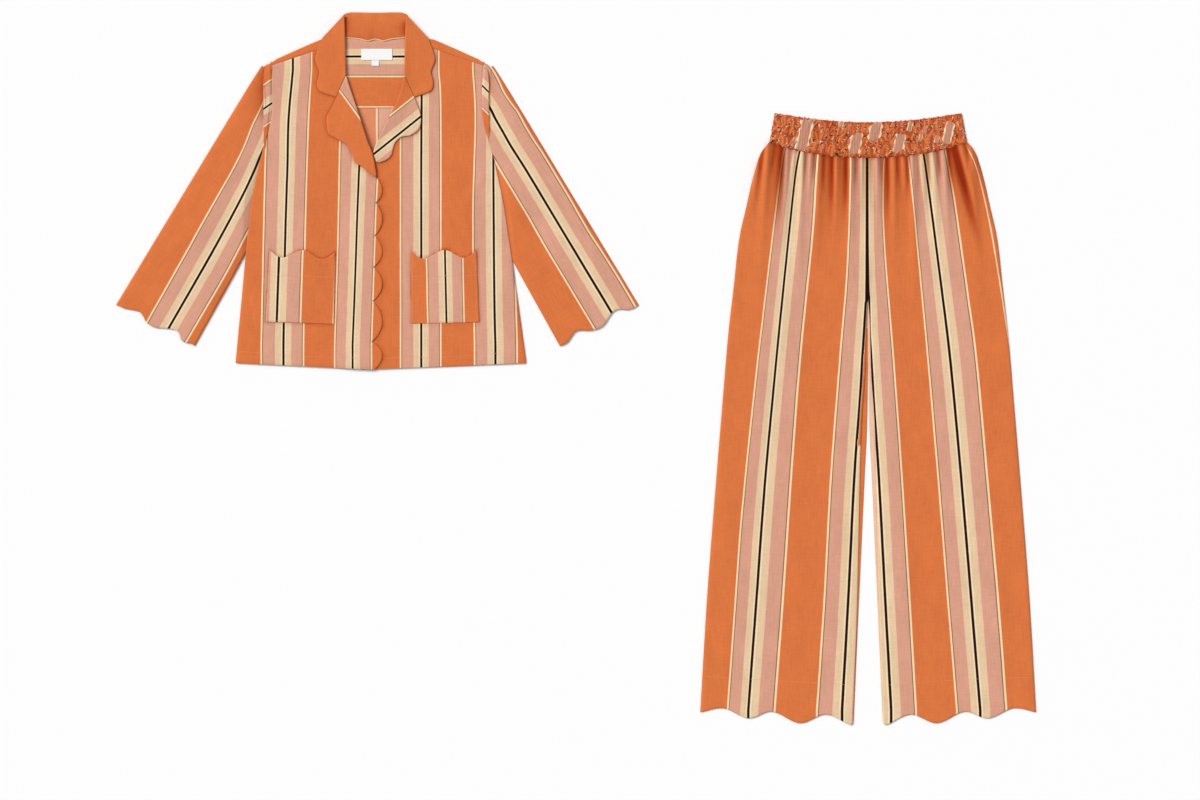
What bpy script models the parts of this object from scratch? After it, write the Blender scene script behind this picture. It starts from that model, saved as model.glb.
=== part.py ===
# A pyjama set laid flat: a jacket with a notched collar at -X, wide shirred trousers at +X.
# Tables and lengths are millimetres, and cloth() turns them into metres. Right and left are the
# wearer's, so the right front is the one nearer -X. Heights in the tables count from a garment's hem.
import math

import bmesh
import bpy

MM = 0.001
WALL = 1.2
GAP = 0.3
LAYER = WALL + GAP
FOLD_ANGLES = (-45, 0, 45)

JACKET_AT = (-327.8, 9.0)
TROUSERS_AT = (481.8, -566.0)

# Heights of the jacket's layers above the surface: back and outer yoke, inner yoke, fronts.
LINING_Z = LAYER
FRONT_Z = 2 * LAYER
FRONT_TOP = FRONT_Z + WALL
ON_FRONT = 0.5

# Jacket body: height, half width.
SIDE_SEAM = [(0, 240), (166, 220.5), (218, 214), (272, 206.5), (345, 190.5), (370, 183),
             (397, 176), (430, 173), (491, 174.5)]
UNDERARM = (120, 385)
UNDERARM_TUCK = 10.5
HEM_LEAN = 6.0
LEAN_TOP = 275.0
HEM_DROP = 11.0
YOKE_SEAM = 421.0
SHOULDER_SEAM = [(90, 519), (174.5, 490.5)]
SHOULDER_FOLD = [(92, 534), (118, 523), (176, 497)]
NECK_X = 92.0
NECK_DIP = 523.0

# Right front: the rolled edge as x, height, and the valleys between the scallops below it.
RIGHT_ROLL = [(-1, 305), (-8, 343), (-17, 366), (-34, 418), (-53, 472), (-68, 507), (-90, 519)]
FRONT_VALLEYS = [(-5, -11), (-9, 35), (-7, 102), (-6, 158), (-4, 210), (-2, 264), (-1, 305)]
FRONT_LOBE_X = 9.0
LEFT_EDGE_X = -25.0
LEFT_ROLL = [(-25, 294), (-19, 322), (-7, 348), (10, 382), (26, 414), (39, 444), (46, 472),
             (67, 507), (90, 519)]
OVERLAP_FROM, OVERLAP_TO = -75.0, -35.0
OVERLAP_TOP = 440.0
LOFT = 1.2
LOFT_FROM = 25.0

# Lapels, each as x, height from the notch down: its free edge, then its rolled edge.
RIGHT_LAPEL_EDGE = [(-67.5, 437.5), (-75, 421), (-83, 405), (-82, 385), (-79, 377), (-62, 367),
                    (-49, 359), (-41, 343), (-36, 331), (-23, 322), (-5, 308)]
RIGHT_LAPEL_ROLL = [(-52, 472), (-34, 418), (-17, 366), (-8, 343), (-2, 309)]
LEFT_LAPEL_EDGE = [(61.5, 437.5), (71, 413), (72, 395), (67, 382), (55, 375), (42, 373), (32, 366),
                   (27, 356), (24, 343), (16, 335), (4, 330)]
LEFT_LAPEL_ROLL = [(46, 472), (39, 444), (26, 414), (10, 382), (-4, 350), (0, 332)]

# Collar, one half: distance from its centre line, height.
COLLAR_X = -3.0
COLLAR_EDGE = [(65, 438), (73, 441), (83, 444), (93.5, 450), (96, 462), (92.5, 477), (93.5, 484),
               (99, 499), (96, 514), (87, 536)]
COLLAR_ROLL = [(49.5, 473), (50.5, 520), (52, 573)]
COLLAR_BACK_TOP = 578.0
COLLAR_BACK_EDGE = 533.5
NECK_SEAM = [(0, 531), (26, 532.5), (62, 535)]

# Sleeve, one half: the armhole and both long edges as distance from the centre, height.
ARMHOLE = [(177, 497), (175.4, 488), (174.6, 450), (174.6, 430), (177.4, 397), (184.6, 370),
           (184.6, 351)]
SLEEVE_OUTER = [(177, 497), (189, 490), (203, 473), (316.5, 285), (431, 96)]
SLEEVE_INNER = [(184.6, 351), (197, 273), (205, 222), (217.5, 178), (226, 164), (301, 28)]
# Cuffs by side: share of the width from the outer fold, how far it stands past a straight edge.
CUFF_WAVE = {
    -1: [(0, 0), (0.108, -1.6), (0.253, -7.8), (0.33, -4), (0.40, 2.8), (0.494, 3.5),
         (0.58, -1.5), (0.68, -7.3), (0.76, -8), (0.83, 1), (0.88, 2.4), (0.95, -0.8), (1, 0)],
    1: [(0, 0), (0.07, 0.7), (0.14, -1.7), (0.217, -8.9), (0.286, -9.6), (0.351, -5.5),
        (0.435, 1.4), (0.504, 3.7), (0.606, 1), (0.716, -7.8), (0.772, -9.1), (0.824, -5.6),
        (0.894, -0.4), (0.949, 0.9), (1, 0)],
}
SLEEVE_PUFF = 2.4
SLEEVE_FLAT_FROM = 0.88
SLEEVE_STEPS = (0, 0.025, 0.05, 0.08, 0.13, 0.22, 0.34, 0.46, 0.58, 0.7, 0.82, 0.93, 1)

# Pocket: half width, height, and its scalloped top as share across, drop below the corners.
POCKET_WIDTH = (112.0, 108.0)
POCKET_HEIGHT = 118.5
POCKET_WAVE = [(0, 0), (0.2, -12), (0.51, 1.5), (0.8, -12), (1, 0)]
POCKETS = {"jacket_pocket_right": (-127.5, 66, -2.0), "jacket_pocket_left": (112.5, 66, 1.2)}

LABEL = (-26.0, 499.3, 25.0, 518.0)
TAB = (-9.0, 490.0, 3.0, 499.0)
LABEL_WALL = 1.0

# Trousers, one leg: height, distance from the centre.
LEG_OUTER = [(-1, 277), (184, 266), (342, 254), (501, 241), (620, 231), (699, 222), (778, 213),
             (837, 200), (877, 191), (917, 179), (939, 164)]
LEG_INNER = [(-20, 25), (184, 18), (445, 12), (559, 5), (638, 3), (677, 0.8), (913, 0.8)]
BACK_INNER = [(-16, 24), (184, 15), (382, 6), (461, 2), (547, 0.5), (913, 0.5)]
LEG_HEM = [(0, 0), (0.15, 9.5), (0.315, -4), (0.47, 10), (0.65, -5.5), (0.82, 12), (0.97, -1.5), (1, 0)]
LEG_LEVELS = (0, 0.06, 0.18, 0.32, 0.46, 0.58, 0.68, 0.76, 0.82, 0.87, 0.91, 0.94, 0.96, 0.98, 1)
GATHERS = 11
GATHER_DEPTH = 1.3
GATHER_REACH = 240.0
BACK_INSET = 2.5
# Band: distance from the centre, height, of its lower and upper edges.
BAND_SEAM = [(-163, 939), (-125, 927), (-71, 917.5), (0, 913), (71, 917.5), (125, 927), (163, 939)]
BAND_TOP = [(-154, 987), (-101, 979), (-46, 973.5), (0, 972), (46, 973.5), (101, 979), (154, 987)]
BAND_BACK_WALL = 1.5
BAND_RIBS = 30
BAND_ROWS = 3
RIB_RELIEF = 1.4


def mix(a, b, share):
    return a + (b - a) * share


def blend(p, q, share):
    return tuple(mix(a, b, share) for a, b in zip(p, q))


def ease(share):
    share = min(1.0, max(0.0, share))
    return share * share * (3 - 2 * share)


def smooth_line(points, steps=10):
    # A Catmull-Rom line through the points.
    ends = [blend(points[1], points[0], 2)] + list(points) + [blend(points[-2], points[-1], 2)]
    line = []
    for before, start, end, after in zip(ends, ends[1:], ends[2:], ends[3:]):
        for step in range(steps):
            t = step / steps
            line.append(tuple(
                0.5 * (2 * b + (c - a) * t + (2 * a - 5 * b + 4 * c - d) * t * t
                       + (3 * b - 3 * c + d - a) * t ** 3)
                for a, b, c, d in zip(before, start, end, after)))
    return line + [tuple(points[-1])]


def read_line(line, share):
    # The point at a share of the line's length.
    lengths = [math.dist(a, b) for a, b in zip(line, line[1:])]
    left = share * sum(lengths)
    for start, end, length in zip(line, line[1:], lengths):
        if left <= length:
            return blend(start, end, left / length)
        left -= length
    return line[-1]


def spaced(points, count):
    line = smooth_line(points)
    return [read_line(line, i / (count - 1)) for i in range(count)]


def look_up(table, key):
    # A smooth reading of a table whose first column rises.
    line = smooth_line(table)
    if key <= line[0][0]:
        return line[0][1]
    for start, end in zip(line, line[1:]):
        if key <= end[0]:
            return mix(start[1], end[1], (key - start[0]) / (end[0] - start[0]))
    return line[-1][1]


def material(name, colour, roughness):
    found = bpy.data.materials.get(name)
    if found:
        return found
    made = bpy.data.materials.new(name)
    made.use_nodes = True
    shader = made.node_tree.nodes["Principled BSDF"]
    shader.inputs["Base Color"].default_value = (*colour, 1)
    shader.inputs["Roughness"].default_value = roughness
    shader.inputs["Metallic"].default_value = 0
    made.diffuse_color = (*colour, 1)
    return made


def striped_cotton():
    return material("striped_cotton", (0.66, 0.22, 0.08), 0.85)


def plain_cotton():
    return material("plain_cotton", (0.68, 0.20, 0.07), 0.85)


def shirred_cotton():
    return material("shirred_cotton", (0.62, 0.18, 0.07), 0.9)


def label_satin():
    return material("label_satin", (0.9, 0.9, 0.88), 0.5)


def cloth(name, outer, inner, finish, at, around=False, keep=None):
    # A closed wall between two grids of points. keep(row, column) says which cells exist.
    rows, columns = len(outer), len(outer[0])
    last = columns if around else columns - 1
    mesh = bmesh.new()
    grids = []
    for grid in (outer, inner):
        grids.append([[mesh.verts.new(((x + at[0]) * MM, (y + at[1]) * MM, z * MM))
                       for x, y, z in row] for row in grid])
    edges = set()
    for r in range(rows - 1):
        for c in range(last):
            if keep and not keep(r, c):
                continue
            corners = [(r, c), (r, (c + 1) % columns), (r + 1, (c + 1) % columns), (r + 1, c)]
            mesh.faces.new([grids[0][i][j] for i, j in corners])
            mesh.faces.new([grids[1][i][j] for i, j in reversed(corners)])
            edges.update(zip(corners, corners[1:] + corners[:1]))
    for a, b in sorted(edges):
        if (b, a) not in edges:
            mesh.faces.new([grids[0][b[0]][b[1]], grids[0][a[0]][a[1]],
                            grids[1][a[0]][a[1]], grids[1][b[0]][b[1]]])
    bmesh.ops.delete(mesh, geom=[v for v in mesh.verts if not v.link_faces], context="VERTS")
    bmesh.ops.recalc_face_normals(mesh, faces=mesh.faces[:])
    data = bpy.data.meshes.new(name)
    mesh.to_mesh(data)
    mesh.free()
    data.shade_smooth()
    data.set_sharp_from_angle(angle=math.radians(50))
    data.materials.append(finish)
    bpy.context.collection.objects.link(bpy.data.objects.new(name, data))


def panel(name, left, right, shares, height, finish, at, shift=None, wall=WALL):
    # Cloth ruled between two edges, lying at height(x, y). shift(share, row share) moves it in y.
    rows = []
    for index, (start, end) in enumerate(zip(left, right)):
        row = []
        for share in shares:
            x, y = blend(start, end, share)
            if shift:
                y += shift(share, index / (len(left) - 1))
            row.append((x, y, height(x, y)))
        rows.append(row)
    top = [[(x, y, z + wall) for x, y, z in row] for row in rows]
    cloth(name, top, rows, finish, at)


def even(count):
    return [i / count for i in range(count + 1)]


# Jacket body

def lean(y):
    return HEM_LEAN * max(0.0, 1 - y / LEAN_TOP)


def side_x(side, y, tuck=0.0):
    window = math.sin(math.pi * min(1, max(0, (y - UNDERARM[0]) / (UNDERARM[1] - UNDERARM[0])))) ** 0.5
    return side * (look_up(SIDE_SEAM, y) - tuck * window) + lean(y)


def loft(x, y):
    # The soft rise of each front between the centre and the side.
    across = min(1, max(0, (abs(x) - LOFT_FROM) / (195 - LOFT_FROM)))
    along = min(1, max(0, (y + 40) / 490))
    return LOFT * (math.sin(math.pi * across) * math.sin(math.pi * along)) ** 2


def left_front_z(x, y):
    return FRONT_Z + loft(x, y)


def right_front_z(x, y):
    over = ease((x - OVERLAP_FROM) / (OVERLAP_TO - OVERLAP_FROM)) * ease((OVERLAP_TOP - y) / 60)
    return left_front_z(x, y) + LAYER * over


def front_side(side, edge):
    # Points on the side seam, level with those of the front's other edge.
    low, high = edge[0][1], edge[-1][1]
    levels = [SHOULDER_SEAM[1][1] * (y - low) / (high - low) for x, y in edge]
    return [(side_x(side, y), y) for y in levels]


def right_front():
    edge = []
    for (x0, y0), (x1, y1) in zip(FRONT_VALLEYS, FRONT_VALLEYS[1:]):
        for share in even(4)[:-1]:
            bulge = math.sin(math.pi * share) ** 0.8
            x = mix(x0, x1, share)
            edge.append((mix(x, FRONT_LOBE_X, bulge), mix(y0, y1, share)))
    edge += spaced(RIGHT_ROLL, 9)
    shares = (0, 0.1, 0.22, 0.36, 0.5, 0.62, 0.72, 0.8, 0.87, 0.94, 1)
    panel("jacket_front_right", front_side(-1, edge), edge, shares, right_front_z,
          striped_cotton(), JACKET_AT)


def left_front():
    edge = [(LEFT_EDGE_X, mix(-HEM_DROP, 294, share)) for share in even(8)[:-1]]
    edge += spaced(LEFT_ROLL, 11)
    panel("jacket_front_left", edge, front_side(1, edge), even(9), left_front_z,
          striped_cotton(), JACKET_AT)


def back():
    levels = [(YOKE_SEAM - GAP) * share for share in even(12)]
    left = [(side_x(-1, y, UNDERARM_TUCK) + GAP, y) for y in levels]
    right = [(side_x(1, y, UNDERARM_TUCK) - GAP, y) for y in levels]
    sag = lambda share, row: -HEM_DROP * 0.7 * math.sin(math.pi * share) * (1 - row) ** 4
    panel("jacket_back", left, right, even(10), lambda x, y: 0.0, striped_cotton(), JACKET_AT, sag)


def yoke():
    # Flat under the fronts, folded forward over each shoulder down to the shoulder seam.
    shoulder = [mix(172.6, NECK_X, share) for share in even(4)]
    neck = [NECK_X * share for share in (0.66, 0.33, 0)]
    half = shoulder + neck
    xs = [-x for x in half] + list(reversed(half[:-1]))
    inner_r = (FRONT_Z - WALL) / 2
    outer_r = inner_r + WALL
    middle_z = WALL + inner_r
    sections = []
    for x in xs:
        on_shoulder = abs(x) >= NECK_X
        reach = abs(x) + (3 if abs(x) > 170 else 0)
        fold_y = look_up(SHOULDER_FOLD, reach) - outer_r
        end_y = fold_y if on_shoulder else mix(NECK_DIP, fold_y, (x / NECK_X) ** 2)
        section = [(x, mix(YOKE_SEAM, end_y, s), 0.0, WALL) for s in even(4)]
        outer = [(px, py, low) for px, py, low, high in section]
        inner = [(px, py, high) for px, py, low, high in section]
        for angle in FOLD_ANGLES:
            a = math.radians(angle)
            outer.append((x, fold_y + outer_r * math.cos(a), middle_z + outer_r * math.sin(a)))
            inner.append((x, fold_y + inner_r * math.cos(a), middle_z + inner_r * math.sin(a)))
        seam_y = look_up(SHOULDER_SEAM, abs(x)) + GAP
        for y in (fold_y, mix(fold_y, seam_y, 0.5), seam_y):
            outer.append((x, y, FRONT_TOP))
            inner.append((x, y, FRONT_Z))
        sections.append((outer, inner))
    outer = [list(row) for row in zip(*(s[0] for s in sections))]
    inner = [list(row) for row in zip(*(s[1] for s in sections))]
    arm = len(shoulder) - 1
    keep = lambda r, c: r < 4 or c < arm or c >= len(xs) - 1 - arm
    cloth("jacket_yoke", outer, inner, striped_cotton(), JACKET_AT, keep=keep)


def yoke_lining():
    # The inner yoke, which shows inside the neck.
    def top(x):
        reach = abs(x)
        if reach > 90:
            return look_up(SHOULDER_SEAM, reach) - 2
        if reach > 62:
            return mix(534, 517, (reach - 62) / 28)
        return look_up(NECK_SEAM, reach) - GAP
    shares = even(16)
    left = [(-172.0, YOKE_SEAM + GAP), (-172.0, 489.0)]
    right = [(172.0, YOKE_SEAM + GAP), (172.0, 489.0)]
    lift = lambda share, row: row * (top(mix(-172, 172, share)) - 489)
    panel("jacket_yoke_lining", left, right, shares, lambda x, y: LINING_Z, striped_cotton(),
          JACKET_AT, lift)


def lapel(name, edge, roll, front_z, count):
    height = lambda x, y: front_z(x, y) + WALL + ON_FRONT
    panel(name, spaced(edge, count), spaced(roll, count), even(4), height, plain_cotton(), JACKET_AT)


def collar():
    # Stations run round the neck. Rows run from the free edge over the roll to the neck seam.
    fall_rows = 3
    stand_rows = len(FOLD_ANGLES) + 3
    base = FRONT_TOP + ON_FRONT
    fold_r = (base + WALL) / 2
    roll_r = LAYER - GAP / 2
    outer, inner, whole = [], [], []

    def front(side):
        edge = spaced(COLLAR_EDGE, 20)
        roll = spaced(COLLAR_ROLL, 20)
        for free, rolled in zip(edge, roll):
            points = [blend(free, rolled, s) for s in even(fall_rows)]
            points = [(COLLAR_X + side * x, y) for x, y in points]
            yield [(x, y, base + WALL) for x, y in points], [(x, y, base) for x, y in points]

    def side_fold(side):
        start, end = COLLAR_EDGE[-1], COLLAR_ROLL[-1]
        length = math.dist(start, end)
        out = ((end[1] - start[1]) / length, (start[0] - end[0]) / length)
        for angle in (60, 20, -20, -60, -90):
            a = math.radians(angle)
            section = []
            for r in (fold_r, fold_r - WALL):
                away = r * math.cos(a) - fold_r
                z = fold_r + r * math.sin(a)
                points = [blend(start, end, s) for s in even(fall_rows)]
                section.append([(COLLAR_X + side * (x + out[0] * away), y + out[1] * away, z)
                                for x, y in points])
            yield section

    def add(station, has_stand):
        missing = 0 if has_stand else stand_rows
        outer.append(list(station[0]) + [station[0][-1]] * missing)
        inner.append(list(station[1]) + [station[1][-1]] * missing)
        whole.append(has_stand)

    for station in front(-1):
        add(station, False)
    for station in side_fold(-1):
        add(station, False)
    for share in even(8):
        across = mix(-1, 1, share)
        free = (COLLAR_X + across * 76, COLLAR_BACK_EDGE)
        top_y = COLLAR_BACK_TOP - roll_r - 1.5 * across ** 6
        rolled = (COLLAR_X + across * 47, top_y)
        seam_x = across * 58
        seam = (COLLAR_X + seam_x, look_up(NECK_SEAM, abs(seam_x)) + GAP)
        fall = [blend(free, rolled, s) for s in even(fall_rows)]
        section = ([(x, y, 0.0) for x, y in fall], [(x, y, WALL) for x, y in fall])
        for points, r in zip(section, (roll_r, GAP / 2)):
            for angle in FOLD_ANGLES:
                a = math.radians(angle)
                points.append((rolled[0], top_y + r * math.cos(a), roll_r + r * math.sin(a)))
            for s in (0, 0.5, 1):
                points.append((*blend(rolled, seam, s), roll_r + r))
        add(section, True)
    for station in reversed(list(side_fold(1))):
        add(station, False)
    for station in reversed(list(front(1))):
        add(station, False)
    keep = lambda r, c: r < fall_rows or (whole[c] and whole[c + 1])
    cloth("jacket_collar", [list(row) for row in zip(*outer)], [list(row) for row in zip(*inner)],
          plain_cotton(), JACKET_AT, keep=keep)


def sleeve(name, side):
    # A flattened tube: over the top from the outer fold to the underarm, and back below.
    shares = [0.02 + 0.86 * s for s in even(13)] + [0.94, 0.98]
    armhole = smooth_line(ARMHOLE)
    outer_line = smooth_line(SLEEVE_OUTER)
    inner_line = smooth_line(SLEEVE_INNER)
    elbow, cuff = SLEEVE_OUTER[-2:]
    length = math.dist(elbow, cuff)
    along = ((cuff[0] - elbow[0]) / length, (cuff[1] - elbow[1]) / length)
    outer, inner = [], []
    for v in SLEEVE_STEPS:
        start, end = read_line(outer_line, v), read_line(inner_line, v)
        full = mix(LAYER, SLEEVE_PUFF, ease(v * 4)) * (1 - 0.6 * ease(v * 3 - 2))

        def place(share):
            x, y = blend(start, end, share)
            cap = read_line(armhole, share)
            flat = blend(ARMHOLE[0], ARMHOLE[-1], share)
            fade = (1 - v) ** 4
            wave = look_up(CUFF_WAVE[side], share) * ease(v * 8 - 7)
            x += (cap[0] - flat[0]) * fade + along[0] * wave
            y += (cap[1] - flat[1]) * fade + along[1] * wave
            return side * x, y

        def top(share):
            return WALL + LAYER + full * math.sin(math.pi * min(1, share / SLEEVE_FLAT_FROM)) ** 1.5

        width = math.dist(start, end)
        for loop, inset in ((outer, 0.0), (inner, WALL)):
            radius = (WALL + LAYER) / 2 - inset
            middle = (WALL + LAYER) / 2
            ring = [(*place(s), top(s) - inset) for s in shares]
            for angle in reversed(FOLD_ANGLES):
                a = math.radians(angle)
                share = 1 - (middle - radius * math.cos(a)) / width
                ring.append((*place(share), middle + radius * math.sin(a)))
            ring += [(*place(s), inset) for s in reversed(shares)]
            for angle in FOLD_ANGLES:
                a = math.radians(angle)
                share = (middle - radius * math.cos(a)) / width
                ring.append((*place(share), middle + radius * math.sin(a)))
            loop.append(ring)
    cloth(name, outer, inner, striped_cotton(), JACKET_AT, around=True)


def pocket(name, x, y, tilt):
    front_z = right_front_z if x < 0 else left_front_z
    cos, sin = math.cos(math.radians(tilt)), math.sin(math.radians(tilt))
    bottom, top = POCKET_WIDTH[0] / 2, POCKET_WIDTH[1] / 2
    turn = lambda px, py: (x + px * cos - py * sin, y + px * sin + py * cos)
    levels = even(5)
    left = [turn(-mix(bottom, top, s), POCKET_HEIGHT * s) for s in levels]
    right = [turn(mix(bottom, top, s), POCKET_HEIGHT * s) for s in levels]
    wave = lambda share, row: look_up(POCKET_WAVE, share) * ease(row * 5 - 4)
    height = lambda px, py: front_z(px, py) + WALL + ON_FRONT
    panel(name, left, right, even(14), height, striped_cotton(), JACKET_AT, wave)


def label(name, low_x, low_y, high_x, high_y):
    height = LINING_Z + WALL + GAP
    panel(name, [(low_x, low_y), (low_x, high_y)], [(high_x, low_y), (high_x, high_y)], even(2),
          lambda x, y: height, label_satin(), JACKET_AT, wall=LABEL_WALL)


# Trousers

def gather(x, y):
    # Waves that start at the band, fan out and die down the leg, uneven in width and length.
    across = abs(x) / look_up(LEG_OUTER, min(y, LEG_OUTER[-1][0]))
    reach = look_up(BAND_SEAM, x) - y
    fade = 1 - ease(reach / (GATHER_REACH * (0.75 + 0.25 * math.sin(17 * across))))
    turn = GATHERS * across + 0.35 * math.sin(7 * across)
    return GATHER_DEPTH * fade * (0.5 - 0.5 * math.cos(2 * math.pi * turn))


def leg(name, side, inner_table, columns, inset, height, levels):
    left, right = [], []
    for level in levels:
        inner_y = mix(inner_table[0][0], inner_table[-1][0] - GAP, level)
        outer_y = mix(LEG_OUTER[0][0] + inset, LEG_OUTER[-1][0] - GAP, level)
        left.append((side * (look_up(LEG_OUTER, outer_y) - inset), outer_y))
        right.append((side * look_up(inner_table, inner_y), inner_y))

    def shift(share, row):
        level = levels[round(row * (len(levels) - 1))]
        x = mix(left[-1][0], right[-1][0], share)
        top = look_up(BAND_SEAM, x) - GAP - mix(left[-1][1], right[-1][1], share)
        hem = look_up(LEG_HEM, share) * (1 - ease(level / 0.06))
        return top * ease(level * 1.3 - 0.3) + hem

    panel(name, left, right, even(columns), height, striped_cotton(), TROUSERS_AT, shift)


def legs():
    front_z = lambda x, y: LAYER + gather(x, y)
    for side, word in ((-1, "right"), (1, "left")):
        leg("trousers_back_" + word, side, BACK_INNER, 12, BACK_INSET, lambda x, y: 0.0, LEG_LEVELS[::2])
        leg("trousers_front_" + word, side, LEG_INNER, 3 * GATHERS, 0.0, front_z, LEG_LEVELS)


def waistband():
    # A tube with a flat back and a front raised in ribs between rows of shirring.
    front_shares = [0.008 + 0.984 * s for s in even(2 * BAND_RIBS)]
    back_shares = even(10)
    top_z = LAYER + GAP + WALL
    outer, inner = [], []
    row_shares = even(2 * BAND_ROWS)
    for index, v in enumerate(row_shares):
        low = smooth_line(BAND_SEAM)
        high = smooth_line(BAND_TOP)
        place = lambda share: blend(read_line(low, share), read_line(high, share), v)
        between = math.sin(math.pi * v * BAND_ROWS) ** 2
        ring, plain = [], []
        for rib, share in enumerate(front_shares):
            crest = (rib + (index // 2)) % 2
            relief = RIB_RELIEF * (0.25 + 0.75 * between) * crest + 0.3 * between
            near_end = min(1, 12 * min(share, 1 - share))
            ring.append((*place(share), top_z + relief * near_end))
            plain.append((*place(share), top_z - WALL))
        for share in reversed(back_shares):
            inset = 0.008 + 0.984 * share
            ring.append((*place(inset), 0.0))
            plain.append((*place(inset), BAND_BACK_WALL))
        outer_left = (*place(0.0), top_z / 2)
        outer_right = (*place(1.0), top_z / 2)
        ring.insert(len(front_shares), outer_right)
        ring.append(outer_left)
        middle = (BAND_BACK_WALL + top_z - WALL) / 2
        plain.insert(len(front_shares), (*place(0.994), middle))
        plain.append((*place(0.006), middle))
        outer.append(ring)
        inner.append(plain)
    cloth("trousers_waistband", outer, inner, shirred_cotton(), TROUSERS_AT, around=True)


def clear_scene():
    for thing in list(bpy.data.objects):
        bpy.data.objects.remove(thing, do_unlink=True)


clear_scene()
back()
yoke()
yoke_lining()
left_front()
right_front()
sleeve("jacket_sleeve_right", -1)
sleeve("jacket_sleeve_left", 1)
for pocket_name, placing in POCKETS.items():
    pocket(pocket_name, *placing)
lapel("jacket_lapel_right", RIGHT_LAPEL_EDGE, RIGHT_LAPEL_ROLL, right_front_z, 21)
lapel("jacket_lapel_left", LEFT_LAPEL_EDGE, LEFT_LAPEL_ROLL, left_front_z, 19)
collar()
label("jacket_neck_label", *LABEL)
label("jacket_size_tab", *TAB)
legs()
waistband()
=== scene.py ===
# A pyjama set laid flat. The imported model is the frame, and every piece of cloth is made again
# as a thin shell over its solid. Tables are in millimetres, heights count from a garment's hem.
import math

import bpy
import numpy as np
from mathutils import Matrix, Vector


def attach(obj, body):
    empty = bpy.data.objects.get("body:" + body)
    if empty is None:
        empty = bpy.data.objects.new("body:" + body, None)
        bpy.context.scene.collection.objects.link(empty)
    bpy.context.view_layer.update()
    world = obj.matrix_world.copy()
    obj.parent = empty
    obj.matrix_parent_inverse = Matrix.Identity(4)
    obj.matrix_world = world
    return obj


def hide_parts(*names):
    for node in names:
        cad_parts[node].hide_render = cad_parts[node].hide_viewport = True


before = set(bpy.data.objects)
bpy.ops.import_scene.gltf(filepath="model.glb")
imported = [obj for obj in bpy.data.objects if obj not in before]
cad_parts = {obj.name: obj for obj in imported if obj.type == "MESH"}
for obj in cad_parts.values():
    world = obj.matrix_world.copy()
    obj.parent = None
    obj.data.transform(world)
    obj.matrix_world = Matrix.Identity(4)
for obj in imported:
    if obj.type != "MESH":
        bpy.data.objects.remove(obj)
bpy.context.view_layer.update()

mm = 0.001

jacket = {
    "at": (-327.8, 9.0),  # the middle of the hem
    "front": 4.2,  # top of the fronts above the table
    "lining": 2.7,  # top of the inner yoke
    "hemDrop": 11.0,
    "yokeSeam": 421.0,
    "seamGap": 0.15,
    "side": [(0, 240), (166, 220.5), (218, 214), (272, 206.5), (345, 190.5), (370, 183), (397, 176),
             (430, 173), (491, 174.5)],
    "hemLean": 6.0,
    "leanTop": 275.0,
    "shoulderSeam": [(90, 519), (174.5, 490.5)],
    "shoulderFold": [(92, 534), (118, 523), (176, 497)],
    "neckX": 84.0,
    "neckDip": 523.0,
}

trousers = {
    "at": (481.8, -566.0),  # the middle of the hems
    "outer": [(-1, 277), (184, 266), (342, 254), (501, 241), (620, 231), (699, 222), (778, 213),
              (837, 200), (877, 191), (917, 179), (939, 164)],
    "inner": [(-20, 25), (184, 18), (445, 12), (559, 5), (638, 3), (677, 0.6), (700, 0.15), (913, 0.15)],
    "backInner": [(-16, 24), (184, 15), (382, 6), (461, 2), (547, 0.6), (580, 0), (600, -0.4), (913, -0.4)],
    "bandSeam": [(-163, 939), (-125, 927), (-71, 917.5), (0, 913), (71, 917.5), (125, 927), (163, 939)],
    "bandTop": [(-154, 987), (-101, 979), (-46, 973.5), (0, 972), (46, 973.5), (101, 979), (154, 987)],
    "hem": [(0, 0), (0.15, 9.5), (0.315, -4), (0.47, 10), (0.65, -5.5), (0.82, 12), (0.97, -1.5), (1, 0)],
}

shot = {
    "centre": (39.6, -52.0),  # what the middle of the picture looks at
    "width": 1980.0,  # of the table across the picture
    "lens": 85.0,
    "sensor": 36.0,
}


def addObject(name, data):
    thing = bpy.data.objects.new(name, data)
    bpy.context.collection.objects.link(thing)
    return thing


# camera first, straight above the set
def makeCamera():
    data = bpy.data.cameras.new("camera")
    data.lens = shot["lens"]
    data.sensor_width = shot["sensor"]
    camera = addObject("camera", data)
    height = shot["width"] * shot["lens"] / shot["sensor"]
    camera.location = (shot["centre"][0] * mm, shot["centre"][1] * mm, height * mm)
    bpy.context.scene.camera = camera
    print("camera", round(height), "mm up")


def ease(share):
    share = np.clip(share, 0, 1)
    return share * share * (3 - 2 * share)


def mix(a, b, share):
    return a + (b - a) * share


def smoothLine(points, steps=14):  # Catmull-Rom through the points
    p = np.array(points, float)
    p = np.vstack([2 * p[0] - p[1], p, 2 * p[-1] - p[-2]])
    t = np.arange(steps)[:, None] / steps
    line = []
    for a, b, c, d in zip(p, p[1:], p[2:], p[3:]):
        line.append(0.5 * (2 * b + (c - a) * t + (2 * a - 5 * b + 4 * c - d) * t ** 2
                           + (3 * b - 3 * c + d - a) * t ** 3))
    return np.vstack(line + [p[-2:-1]])


def readLine(line, shares):  # points at shares of a line's length
    lengths = np.linalg.norm(np.diff(line, axis=0), axis=1)
    run = np.concatenate([[0], np.cumsum(lengths)])
    want = np.asarray(shares) * run[-1]
    return np.stack([np.interp(want, run, line[:, k]) for k in range(line.shape[1])], axis=-1)


def spaced(points, count):
    return readLine(smoothLine(points), np.linspace(0, 1, count))


def lookUp(table, keys):  # the first column rises
    line = smoothLine(table)
    return np.interp(keys, line[:, 0], line[:, 1])


def even(count):
    return np.linspace(0, 1, count + 1)


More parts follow.
